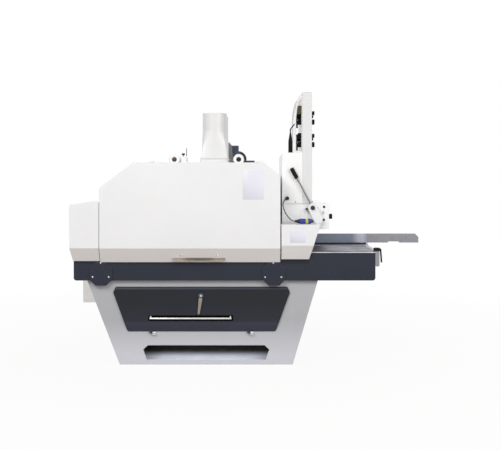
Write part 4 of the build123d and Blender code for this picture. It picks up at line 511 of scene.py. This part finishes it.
def lubricator_layers(shader):
    """A pale pump with an amber bottle, a zinc pipe and a dark vent."""
    return [
        (shader.zone(X=(-far, bottle_right_x)), bottle_finish),
        (shader.zone(X=(bottle_right_x, pump_left_x)), zinc_finish),
        (shader.zone(X=(vent_left_x, far), Z=(pump_top_z, far)), vent_finish),
    ]


lift_left_x = 0.08
lift_end_x = (0.10, 0.232)
lift_plate_top_z = 1.4815
lift_body_low_z = 1.500
lift_lug_finish = (srgb(60, 64, 70), 0.0, 0.46)
lift_body_finish = (srgb(26, 27, 31), 0.0, 0.44)
lift_end_finish = (srgb(76, 88, 104), 0.0, 0.42)
lift_plate_finish = (srgb(66, 65, 76), 0.0, 0.46)


def lift_motor_layers(shader):
    """A dark motor with a paler end on its foot plate, and lugs beside it."""
    return [
        (shader.zone(X=(lift_left_x, far), Z=(lift_plate_top_z, far)), lift_body_finish),
        (shader.zone(X=lift_end_x, Z=(lift_body_low_z, far)), lift_end_finish),
        (shader.zone(X=(lift_left_x, far), Z=(0.0, lift_plate_top_z)), lift_plate_finish),
    ]


relay_zone = {"X": (0.650, 0.697), "Y": (-0.3285, -0.2875), "Z": (1.809, 1.871)}
relay_finish = (srgb(104, 100, 72), 0.0, 0.5)


def wiring_layers(shader):
    return [(shader.zone(**relay_zone), relay_finish)]


gear_plate_y = 0.4875
gear_face_y = 0.5575
trunk_low_z = 0.333
trunk_pitch = 0.23633
trunk_height = 0.045
trunk_count = 4
trunk_skin = 0.0005
gear_finish = (srgb(48, 49, 54), 0.0, 0.5)
gear_nose_finish = (srgb(150, 152, 156), 0.0, 0.45)
trunk_finish = (srgb(150, 154, 160), 0.0, 0.55)


def gear_layers(shader):
    """Dark blocks with grey noses between grey cable trunks, on a zinc plate."""
    layers = [(shader.zone(Y=(gear_face_y, far)), gear_nose_finish)]
    for i in range(trunk_count):
        low = trunk_low_z + i * trunk_pitch
        trunk = shader.zone(Z=(low - trunk_skin, low + trunk_height + trunk_skin))
        layers.append((trunk, trunk_finish))
    layers.append((shader.zone(Y=(-far, gear_plate_y)), zinc_finish))
    return layers


collar_x = (0.7665, 0.7735)
collar_finish = (srgb(62, 62, 66), 0.6, 0.35)


def head_layers(shader):
    return [(shader.zone(X=collar_x), collar_finish)]


# Paints that change over a node

# Heights on the service door; the bend under the slot and the top edge carry a painted highlight
door_bend_highlight_z = 0.297
door_slot_z = 0.315
door_plain_z = 0.46
door_top_highlight_z = (0.541, 0.551)
door_dark = srgb(14, 16, 26)
door_low = srgb(29, 32, 44)
door_painted_highlight = srgb(45, 47, 62)


def service_paint(shader):
    """Dark paint that pales downwards, with a painted highlight on the bend under the slot and along the
    top edge.
    """
    height = shader.axis("Z")
    plain = shader.mix(shader.remap(height, door_plain_z, door_slot_z), door_dark, door_low)
    grey = shader.either(shader.remap(height, door_slot_z, door_bend_highlight_z), shader.zone(Z=door_top_highlight_z))
    return shader.mix(grey, plain, door_painted_highlight)


bumper_place = (0.7275, 0.0, 1.1130)
bumper_radius = 0.0100
bumper_back_y = -0.3625


def housing_paint(shader):
    """White made lighter as painted light against the hood door's shadow, with the tip of the bumper black.
    """
    front = shader.zone(Y=(-far, bumper_back_y))
    tip = shader.both(front, shader.within(bumper_place, round_y, bumper_radius))
    return shader.mix(tip, housing_white_painted_light, black)


hinge_xs = (-0.372, 0.328)
hinge_leaf_half = 0.012
hinge_leaf_back_y = -0.4705
hinge_leaf_z = (0.212, 0.240)
front_plain_z = 0.32
front_pale_z = 0.06
front_pale = srgb(213, 214, 222)


def front_paint(shader):
    """Grey that pales towards the floor, with the hinge leaves white."""
    grey = shader.mix(shader.remap(shader.axis("Z"), front_plain_z, front_pale_z), cool_grey, front_pale)
    leaves = 0.0
    for x in hinge_xs:
        sides = (x - hinge_leaf_half, x + hinge_leaf_half)
        leaf = shader.zone(X=sides, Y=(-far, hinge_leaf_back_y), Z=hinge_leaf_z)
        leaves = shader.either(leaf, leaves)
    return shader.mix(leaves, grey, white)


pocket_front_y = -0.25
pocket_deep_y = -0.02
pocket_top_z = 0.05
pocket_painted_light = srgb(214, 219, 236)
pocket_painted_shade = srgb(26, 27, 31)


def decks_paint(shader):
    """Grey, and in the fork pocket painted pale as the light that falls in, and painted dark as shade
    further back.
    """
    low = shader.zone(Z=(-far, pocket_top_z))
    deep = shader.remap(shader.axis("Y"), pocket_front_y, pocket_deep_y)
    return shader.mix(low, cool_grey, shader.mix(deep, pocket_painted_light, pocket_painted_shade))


table_front_y = -0.4990
table_edge_z = 0.8095
table_inner_x = 0.45
table_nose_x = 0.62
table_dark_x = 0.76
table_clear_x = 1.00
table_grey = srgb(94, 95, 105)
table_painted_shade = srgb(62, 63, 70)
table_dark = srgb(46, 47, 54)
table_edge = srgb(230, 230, 234)


def table_paint(shader):
    """Iron with painted shade near the infeed nose, and a bright front edge."""
    edge = shader.zone(Y=(-far, table_front_y), Z=(0.0, table_edge_z))
    along = shader.axis("X")
    clear = shader.remap(along, table_dark_x, table_clear_x)
    inner = shader.remap(along, table_nose_x, table_inner_x)
    iron = shader.mix(shader.either(clear, inner), table_painted_shade, table_grey)
    return shader.mix(edge, iron, table_edge)


underside_shade_from = -0.20
underside_shade_full = -0.45
cover_underside_shade = (0.90, 0.860, 0.835, 1.0)


def cover_paint(shader):
    """White with painted shade on the faces that look down."""
    under = shader.remap(shader.facing_up(), underside_shade_from, underside_shade_full)
    return shader.mix(under, white, cover_underside_shade, "MULTIPLY")


# Heights of the painted shadow under the lower edges of the covers
band_clear_z = 0.7150
band_shadow_z = 0.7400
band_shadow_top_z = 0.7480
band_top_z = 0.7600
covers_end_x = 0.735


def band_paint(shader):
    """Anthracite with a painted shadow in the gap under the covers."""
    height = shader.axis("Z")
    low = shader.remap(height, band_clear_z, band_shadow_z)
    gap = shader.both(low, shader.remap(height, band_top_z, band_shadow_top_z))
    return shader.mix(shader.both(gap, shader.zone(X=(-far, covers_end_x))), anthracite, shade_black)


strip_middle = (-0.051, 0.0, 0.0)
strip_darker_half = 0.075
strip_plain_half = 0.125
strip_darker = srgb(176, 164, 155)
strip_plain = srgb(214, 203, 193)
along_x = (1.0, 0.0, 0.0)


def strip_paint(shader):
    """Handle strip, darker in the middle."""
    away = shader.distance(strip_middle, along_x)
    return shader.mix(shader.remap(away, strip_darker_half, strip_plain_half), strip_darker, strip_plain)


stay_low_z = 1.4145
stay_grey = srgb(140, 138, 142)


def column_paint(shader):
    return shader.mix(shader.zone(Z=(stay_low_z, far)), casting_grey, stay_grey)


# Materials of the record's slots, then of single nodes; a stretch is along X, Y and Z

dull_shine = 0.14
even = (1.0, 1.0, 1.0)
lines_along_x = (0.05, 1.0, 1.0)
long_lines_along_x = (0.04, 1.0, 1.0)
lines_along_y = (5.0, 0.12, 5.0)
fine_rings = (6.0, 1.0, 1.0)
arbor_axis = (-0.030, 0.0, 0.974)
slot_materials = {
    "white_paint": enamel("white_enamel", white, rough=0.36),
    "grey_paint": enamel("grey_enamel", cool_grey, rough=0.40),
    "dark_paint": textured("anthracite_paint", anthracite, dust_grey, paint_edge),
    "housing_paint": enamel("casting_enamel", casting_grey, rough=0.46, peel=0.22),
    "motor_paint": textured("motor_paint", motor_grey, dust_grey, paint_edge, rough=0.46),
    "steel": brushed("brushed_steel", steel_grey, lines_along_x),
    "blade_steel": brushed("blade_steel", blade_grey, even, rough=0.26),
    "chrome": assorted("latch_metal", latch_finish, latch_layers),
    "iron": machined_iron("machined_iron", iron_grey, iron_dark, metal=0.9, rough=0.40),
    "black_plastic": moulded("black_plastic", black, shine=dull_shine),
    "blue_plastic": assorted("sensor_plastic", sensor_finish, sensor_layers),
    "pale_plastic": assorted("oiler_plastic", oiler_finish, lubricator_layers),
    "rubber": moulded("rubber", rubber_black, rough=0.66, grain=700.0, shine=dull_shine),
}
cover_enamel = enamel("cover_enamel", cover_paint, rough=0.36)
port_shaded_enamel = enamel("port_shaded_enamel", port_white_painted_shade, rough=0.36)
cabinet_enamel = enamel("cabinet_enamel", cabinet_warm_white_painted_light, rough=0.42)
head_plastic = assorted("head_plastic", black_finish, head_layers, shine=dull_shine)
node_materials = {
    "hood_door": cover_enamel,
    "outfeed_cover": cover_enamel,
    "infeed_side_cover": cover_enamel,
    "dust_ports": port_shaded_enamel,
    "console_panel": port_shaded_enamel,
    "electrical_cabinet": cabinet_enamel,
    "cabinet_door": cabinet_enamel,
    "base_front": enamel("front_enamel", front_paint, rough=0.40),
    "base_decks": textured("deck_paint", decks_paint, primer, dust_grey, rough=0.85, shine=0.06),
    "service_door": textured("service_paint", service_paint, dust_dark, paint_edge),
    "service_handle": brushed("bar_steel", bar_bright, long_lines_along_x, rough=0.26),
    "door_handle": brushed("handle_steel", strip_paint, long_lines_along_x, rough=0.34),
    "tables": machined_iron("table_iron", table_paint, table_dark, metal=0.42, rough=0.57),
    "feed_chain": machined_iron(
        "chain_iron", chain_grey, chain_dark, metal=0.5, rough=0.42, oil_share=0.25, edge_share=0.8
    ),
    "fence": assorted("fence_aluminium", fence_finish, fence_layers),
    "fence_rail": brushed("rail_steel", rail_grey, lines_along_y, rough=0.36),
    "kickback_lever": assorted("lever_metal", lever_finish, lever_layers),
    "finger_housing": enamel("housing_enamel", housing_paint, rough=0.36),
    "infeed_hood": enamel("housing_white_lit_enamel", housing_white_painted_light, rough=0.36),
    "bed_front_plate": textured("band_paint", band_paint, dust_grey, paint_edge),
    "lift_motor": assorted("lift_motor_paint", lift_lug_finish, lift_motor_layers),
    "column": enamel("column_enamel", column_paint, rough=0.46, peel=0.22),
    "console_wiring": assorted("wiring_plastic", black_finish, wiring_layers, shine=dull_shine),
    "cabinet_gear": assorted("gear_plastic", gear_finish, gear_layers),
    "saw_blades": brushed(
        "ringed_steel", ringed_grey, fine_rings, rough=0.24, aniso=0.5, center=arbor_axis
    ),
}
for row in ("upper", "lower"):
    for kind in ("selector", "button", "mushroom"):
        node_materials[f"{row}_{kind}"] = head_plastic

slot_of = {row["node"]: row["material_slot"] for row in frame["record"]["subparts"]}
for name, node in nodes.items():
    node.data.materials.clear()
    node.data.materials.append(node_materials.get(name, slot_materials[slot_of[name]]))


# The sensor's cord, hung between its gland and the sensor

cord_route = [
    (0.585, -0.390, 1.191),
    (0.585, -0.418, 1.193),
    (0.561, -0.436, 1.179),
    (0.549, -0.444, 1.144),
    (0.562, -0.448, 1.100),
    (0.585, -0.444, 1.061),
    (0.614, -0.432, 1.031),
    (0.637, -0.430, 1.026),
]
cord_diameter = 0.0065
cord_roundness = 6
cord_steps = 24


def make_cord():
    curve = bpy.data.curves.new("sensor_lead", "CURVE")
    curve.dimensions = "3D"
    curve.bevel_depth = cord_diameter / 2
    curve.bevel_resolution = cord_roundness
    curve.resolution_u = cord_steps
    spline = curve.splines.new("NURBS")
    spline.points.add(len(cord_route) - 1)
    for point, place in zip(spline.points, cord_route):
        point.co = (*place, 1.0)
    spline.order_u = 3
    spline.use_endpoint_u = True
    cord = bpy.data.objects.new("sensor_lead", curve)
    scene.collection.objects.link(cord)
    curve.materials.append(slot_materials["rubber"])
    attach(cord, "frame")
    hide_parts("sensor_cord")


make_cord()


# Small fasteners and plates, seated on the faces that carry them

sunk = 0.0004
crease = math.radians(35)
far_front_y = -3.0
far_back_y = 3.0
from_front = (0.0, 1.0, 0.0)
from_back = (0.0, -1.0, 0.0)
rightward = (1.0, 0.0, 0.0)
upward = (0.0, 0.0, 1.0)
washer_sides = 28
bolt_sides = 6
screw_sides = 24
grille_sides = 64
corner_points = 6
trees = {}


def seat_on(name, start, direction):
    """Where a ray first meets a node, with the face's outward normal there."""
    if name not in trees:
        node = nodes[name]
        points = [node.matrix_world @ vertex.co for vertex in node.data.vertices]
        trees[name] = BVHTree.FromPolygons(points, [face.vertices[:] for face in node.data.polygons])
    place, normal, _, _ = trees[name].ray_cast(Vector(start), Vector(direction))
    return place, -normal if normal.dot(Vector(direction)) > 0 else normal


def front_seats(name, places):
    """Seats on the front of a node at places in X and Z."""
    return [seat_on(name, (x, far_front_y, z), from_front) for x, z in places]


def back_seats(name, places):
    """Seats on the back of a node at places in X and Z."""
    return [seat_on(name, (x, far_back_y, z), from_back) for x, z in places]


def on_circle(axis, radius, degrees):
    """Places in X and Z round an axis that runs along Y."""
    angles = [math.radians(angle) for angle in degrees]
    return [(axis[0] + radius * math.cos(a), axis[1] + radius * math.sin(a)) for a in angles]


def add_loops(form, loops, shut=True):
    """Joins loops of points into one skin, with its two ends shut or joined to each other."""
    rows = [[form.verts.new(point) for point in loop] for loop in loops]
    followers = rows[1:] if shut else rows[1:] + rows[:1]
    for low, high in zip(rows, followers):
        for i in range(len(low)):
            form.faces.new((low[i - 1], low[i], high[i], high[i - 1]))
    if shut:
        form.faces.new(rows[0][::-1])
        form.faces.new(rows[-1])


def add_turned(form, seat, rings, sides, shut=True):
    """A turned body: rings of radius and height round the seat's normal."""
    place, normal = seat
    turn = normal.to_track_quat("Z", "Y")
    angles = [math.tau * i / sides for i in range(sides)]
    loops = []
    for radius, height in rings:
        points = [Vector((radius * math.cos(a), radius * math.sin(a), height)) for a in angles]
        loops.append([place + turn @ point for point in points])
    add_loops(form, loops, shut)


def add_bolt(form, seat, size):
    """A washer under a chamfered hexagon head; the size is half the head's width over its corners."""
    washer = [(1.30, 0.0), (1.30, 0.15), (1.22, 0.20)]
    head = [(0.95, 0.18), (1.0, 0.24), (1.0, 0.74), (0.84, 0.88)]
    add_turned(form, seat, [(size * r, size * h - sunk) for r, h in washer], washer_sides)
    add_turned(form, seat, [(size * r, size * h - sunk) for r, h in head], bolt_sides)


def add_screw(form, seat, size):
    """A domed head with a sunk socket; the size is the head's radius."""
    head = [(1.0, 0.0), (1.0, 0.24), (0.93, 0.46), (0.76, 0.64), (0.54, 0.72), (0.48, 0.70), (0.45, 0.36)]
    add_turned(form, seat, [(size * r, size * h - sunk) for r, h in head], screw_sides)


def add_hoop(form, seat, inner, outer, height):
    """A flat hoop standing on its seat."""
    rings = [(outer, -sunk), (outer, height), (inner, height), (inner, -sunk)]
    add_turned(form, seat, rings, grille_sides, shut=False)


def add_plate(form, seat, across, size, corner, thick):
    """A thin plate with round corners and a bevelled rim, flat on its seat."""
    place, normal = seat
    across = Vector(across)
    up = normal.cross(across)
    rim = 0.6 * thick
    corner_step = 90 / (corner_points - 1)
    loops = []
    for inset, height in ((0.0, -sunk), (0.0, rim), (rim, thick)):
        loop = []
        for quarter, (side_x, side_z) in enumerate(((1, 1), (-1, 1), (-1, -1), (1, -1))):
            for step in range(corner_points):
                angle = math.radians(90 * quarter + corner_step * step)
                reach = corner - inset
                x = side_x * (size[0] / 2 - corner) + reach * math.cos(angle)
                z = side_z * (size[1] / 2 - corner) + reach * math.sin(angle)
                loop.append(place + across * x + up * z + normal * height)
        loops.append(loop)
    add_loops(form, loops)


def make_piece(name, form, body, material):
    """Turns a form into an object that rides on a body."""
    for face in form.faces:
        face.smooth = True
    for edge in form.edges:
        edge.smooth = edge.calc_face_angle(0.0) < crease
    mesh = bpy.data.meshes.new(name)
    form.to_mesh(mesh)
    form.free()
    mesh.materials.append(material)
    piece = bpy.data.objects.new(name, mesh)
    scene.collection.objects.link(piece)
    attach(piece, body)


def make_fasteners(name, add, seats, size, body, material):
    form = bmesh.new()
    for seat in seats:
        add(form, seat, size)
    make_piece(name, form, body, material)


card_corner = 0.004
card_thick = 0.0006
card_film = moulded("card_film", srgb(223, 223, 233), rough=0.34, grain=900.0)
slide_grey = moulded("slide_grey", srgb(196, 200, 212), rough=0.36, grain=900.0)
bright_steel = brushed("fastener_steel", srgb(222, 223, 226), even, rough=0.24)
black_steel = brushed("fastener_black", srgb(58, 58, 60), even, rough=0.42)


def make_card(name, seat, size, body):
    """A blank card."""
    form = bmesh.new()
    add_plate(form, seat, rightward, size, card_corner, card_thick)
    make_piece(name, form, body, card_film)


# Screws of the shaft covers
shaft_xs = (-0.7508, 0.4800)
cover_screw_reach = 0.0577
cover_screw_z = 0.632
cover_top_z = 0.7315
cover_screw_size = 0.0065
cover_places = [(x + side * cover_screw_reach, cover_screw_z) for x in shaft_xs for side in (-1, 1)]
cover_places += [(x, cover_top_z) for x in shaft_xs]
cover_seats = front_seats("shaft_covers", cover_places)
make_fasteners("cover_screws", add_screw, cover_seats, cover_screw_size, "frame", bright_steel)

# Pairs of screws that hold the handle strip
strip_screw_xs = (-0.171, 0.077)
strip_screw_half = 0.0085
strip_screw_z = 0.7905
strip_screw_size = 0.0070
strip_places = [(x + side * strip_screw_half, strip_screw_z) for x in strip_screw_xs for side in (-1, 1)]
strip_seats = front_seats("hood_door", strip_places)
make_fasteners("strip_screws", add_screw, strip_seats, strip_screw_size, "hood_door", bright_steel)

# Black bolts and a grey slide on the finger housing, and a screw above them
housing_bolt_places = [(0.855, 1.128), (0.853, 1.034)]
housing_bolt_size = 0.0072
housing_seats = front_seats("finger_housing", housing_bolt_places)
make_fasteners("housing_bolts", add_bolt, housing_seats, housing_bolt_size, "frame", black_steel)
slide_place = (0.849, 1.088)
slide_size = (0.019, 0.030)
slide_corner = 0.0094
slide_thick = 0.0012
slide_lean = math.radians(12)
slide_across = (math.cos(slide_lean), 0, -math.sin(slide_lean))
slide_seat, = front_seats("finger_housing", [slide_place])
slide_form = bmesh.new()
add_plate(slide_form, slide_seat, slide_across, slide_size, slide_corner, slide_thick)
make_piece("housing_slide", slide_form, "frame", slide_grey)
nose_screw_place = (0.645, 1.164)
nose_screw_size = 0.0060
nose_seats = front_seats("infeed_hood", [nose_screw_place])
make_fasteners("nose_screw", add_screw, nose_seats, nose_screw_size, "frame", bright_steel)

# Screws in the fixed leaves of the service door's hinges
hinge_screw_z = 0.2245
hinge_screw_size = 0.0055
hinge_seats = front_seats("base_front", [(x, hinge_screw_z) for x in hinge_xs])
make_fasteners("hinge_screws", add_screw, hinge_seats, hinge_screw_size, "frame", bright_steel)

# Screw that holds the latch's lever
latch_screw_place = (-0.0425, 0.4685)
latch_screw_size = 0.0052
latch_seats = front_seats("service_latch", [latch_screw_place])
make_fasteners("latch_screw", add_screw, latch_seats, latch_screw_size, "service_latch", bright_steel)

# Black sheet in the bar handle's slot as painted shade of the recess, seated on the door's face below the
# slot's middle
slot_seat_place = (-0.111, 0.318)
slot_rise = Vector((0.0, 0.0, 0.016))
slot_size = (0.607, 0.0392)
slot_corner = 0.0038
slot_thick = 0.0012
(slot_place, slot_normal), = front_seats("service_door", [slot_seat_place])
slot_form = bmesh.new()
add_plate(slot_form, (slot_place + slot_rise, slot_normal), rightward, slot_size, slot_corner, slot_thick)
make_piece("slot_shade", slot_form, "service_door", shade_sheet("slot_shade"))

# Bolts, screws and fan grille of the main motor, and screws of the belt case
motor_axis = (0.330, 0.914)
diagonals = range(45, 360, 90)
flange_gap_y = 0.520
flange_bolt_ring = 0.133
flange_bolt_size = 0.0105
flange_places = on_circle(motor_axis, flange_bolt_ring, diagonals)
flange_seats = [seat_on("main_motor", (x, flange_gap_y, z), from_back) for x, z in flange_places]
make_fasteners("flange_bolts", add_bolt, flange_seats, flange_bolt_size, "saw_carriage", bright_steel)
cowl_screw_y = 0.770
cowl_screw_size = 0.0065
clear_of_cowl = 0.3
cowl_seats = []
for x, z in on_circle(motor_axis, clear_of_cowl, diagonals):
    inward = (motor_axis[0] - x, 0.0, motor_axis[1] - z)
    cowl_seats.append(seat_on("main_motor", (x, cowl_screw_y, z), inward))
make_fasteners("cowl_screws", add_screw, cowl_seats, cowl_screw_size, "saw_carriage", bright_steel)
case_screw_ring = 0.092
case_screw_angles = (95, 140, 185, 230, 270)
case_screw_size = 0.0065
case_places = on_circle((arbor_axis[0], arbor_axis[2]), case_screw_ring, case_screw_angles)
case_places += [(0.110, 1.050), (0.180, 1.036), (0.105, 0.852), (0.170, 0.838)]
case_seats = back_seats("belt_case", case_places)
make_fasteners("case_screws", add_screw, case_seats, case_screw_size, "saw_carriage", bright_steel)
grille_radius = 0.104
hoop_radii = (0.022, 0.038, 0.054, 0.070, 0.086)
hoop_width = 0.007
hoop_height = 0.0022
bar_width = 0.010
bar_corner = 0.0045
grille_seat, = back_seats("main_motor", [motor_axis])
grille_form = bmesh.new()
for radius in hoop_radii:
    add_hoop(grille_form, grille_seat, radius, radius + hoop_width, hoop_height)
for across in (rightward, upward):
    add_plate(grille_form, grille_seat, across, (2 * grille_radius, bar_width), bar_corner, hoop_height)
make_piece("fan_grille", grille_form, "saw_carriage", slot_materials["motor_paint"])
# A black disc under the grille as painted shade of the cowl's opening
opening_rings = [(grille_radius, -sunk), (grille_radius, 0.0004), (grille_radius - 0.001, 0.0007)]
opening_form = bmesh.new()
add_turned(opening_form, grille_seat, opening_rings, grille_sides)
make_piece("fan_opening", opening_form, "saw_carriage", shade_sheet("fan_opening_shade"))

# Turn locks of the cabinet door
lock_places = [(-0.570, 0.500), (-0.570, 0.920)]
lock_size = 0.0125
lock_seats = back_seats("cabinet_door", lock_places)
make_fasteners("cabinet_locks", add_screw, lock_seats, lock_size, "cabinet_door", bright_steel)

# Blank cards
door_card_place = (0.3376, 1.287)
door_card_size = (0.149, 0.204)
door_card_seat, = front_seats("hood_door", [door_card_place])
make_card("door_card", door_card_seat, door_card_size, "hood_door")
cover_card_place = (0.6532, 0.9237)
cover_card_size = (0.112, 0.086)
cover_card_seat, = front_seats("infeed_side_cover", [cover_card_place])
make_card("cover_card", cover_card_seat, cover_card_size, "frame")


# Floor, world and light

floor_reach = 120.0
floor_near = 1.2
floor_far = 4.5
floor_glow = 0.94
shade_half = (0.58, 0.44)
floor_color = (0.52, 0.49, 0.47, 1.0)
plain_white = (1.0, 1.0, 1.0, 1.0)
ambient_level = 0.42


def floor_material():
    """Nearly white where it is seen, and a plain grey floor in the shade under the base."""
    material = bpy.data.materials.new("studio_floor")
    graph = Graph(material)
    graph.tree.nodes.clear()
    place = graph.add("ShaderNodeTexCoord").outputs["Object"]
    distance = graph.add("ShaderNodeVectorMath", {0: place}, operation="LENGTH").outputs["Value"]
    fade = graph.remap(distance, floor_near, floor_far, to_low=floor_glow)
    sides = graph.add("ShaderNodeSeparateXYZ", {"Vector": place}).outputs
    beyond = []
    for letter, half in zip("XY", shade_half):
        beyond.append(graph.math("GREATER_THAN", graph.math("ABSOLUTE", sides[letter]), half))
    glowing = graph.both(graph.either(*beyond), fade)
    diffuse = graph.add("ShaderNodeBsdfDiffuse", {"Color": floor_color}).outputs[0]
    glow = graph.add("ShaderNodeEmission", {"Color": plain_white}).outputs[0]
    graph.blend(graph.both(graph.seen_directly(), glowing), diffuse, glow, "ShaderNodeOutputMaterial")
    return material


def make_floor():
    mesh = bpy.data.meshes.new("floor")
    reach = floor_reach
    corners = [(-reach, -reach, 0), (reach, -reach, 0), (reach, reach, 0), (-reach, reach, 0)]
    mesh.from_pydata(corners, [], [(0, 1, 2, 3)])
    mesh.materials.append(floor_material())
    floor = bpy.data.objects.new("floor", mesh)
    scene.collection.objects.link(floor)


def make_world():
    """White where it is seen, dimmer as a light."""
    world = bpy.data.worlds.new("studio")
    scene.world = world
    graph = Graph(world)
    graph.tree.nodes.clear()
    ambient = graph.add("ShaderNodeBackground", {"Color": plain_white, "Strength": ambient_level})
    seen = graph.add("ShaderNodeBackground", {"Color": plain_white})
    graph.blend(graph.seen_directly(), ambient.outputs[0], seen.outputs[0], "ShaderNodeOutputWorld")


def make_light(name, place, target, size, watts):
    data = bpy.data.lights.new(name, "AREA")
    data.shape = "RECTANGLE"
    data.size, data.size_y = size
    data.energy = watts
    light = bpy.data.objects.new(name, data)
    light.location = place
    light.rotation_euler = (Vector(target) - Vector(place)).to_track_quat("-Z", "Y").to_euler()
    light.visible_camera = False
    scene.collection.objects.link(light)


make_floor()
make_world()
make_light("key", place=(-2.2, -4.6, 4.4), target=(0.1, -0.3, 0.9), size=(3.4, 2.4), watts=178.0)
make_light("fill", place=(3.4, -4.2, 3.0), target=(0.2, -0.3, 0.9), size=(2.6, 2.6), watts=92.0)
make_light("back", place=(0.8, 4.2, 4.2), target=(0.1, 0.2, 0.9), size=(4.0, 2.0), watts=90.0)
make_light("pocket", place=(0.0, -0.27, 0.128), target=(0.0, -0.27, 0.0), size=(0.84, 0.30), watts=0.95)
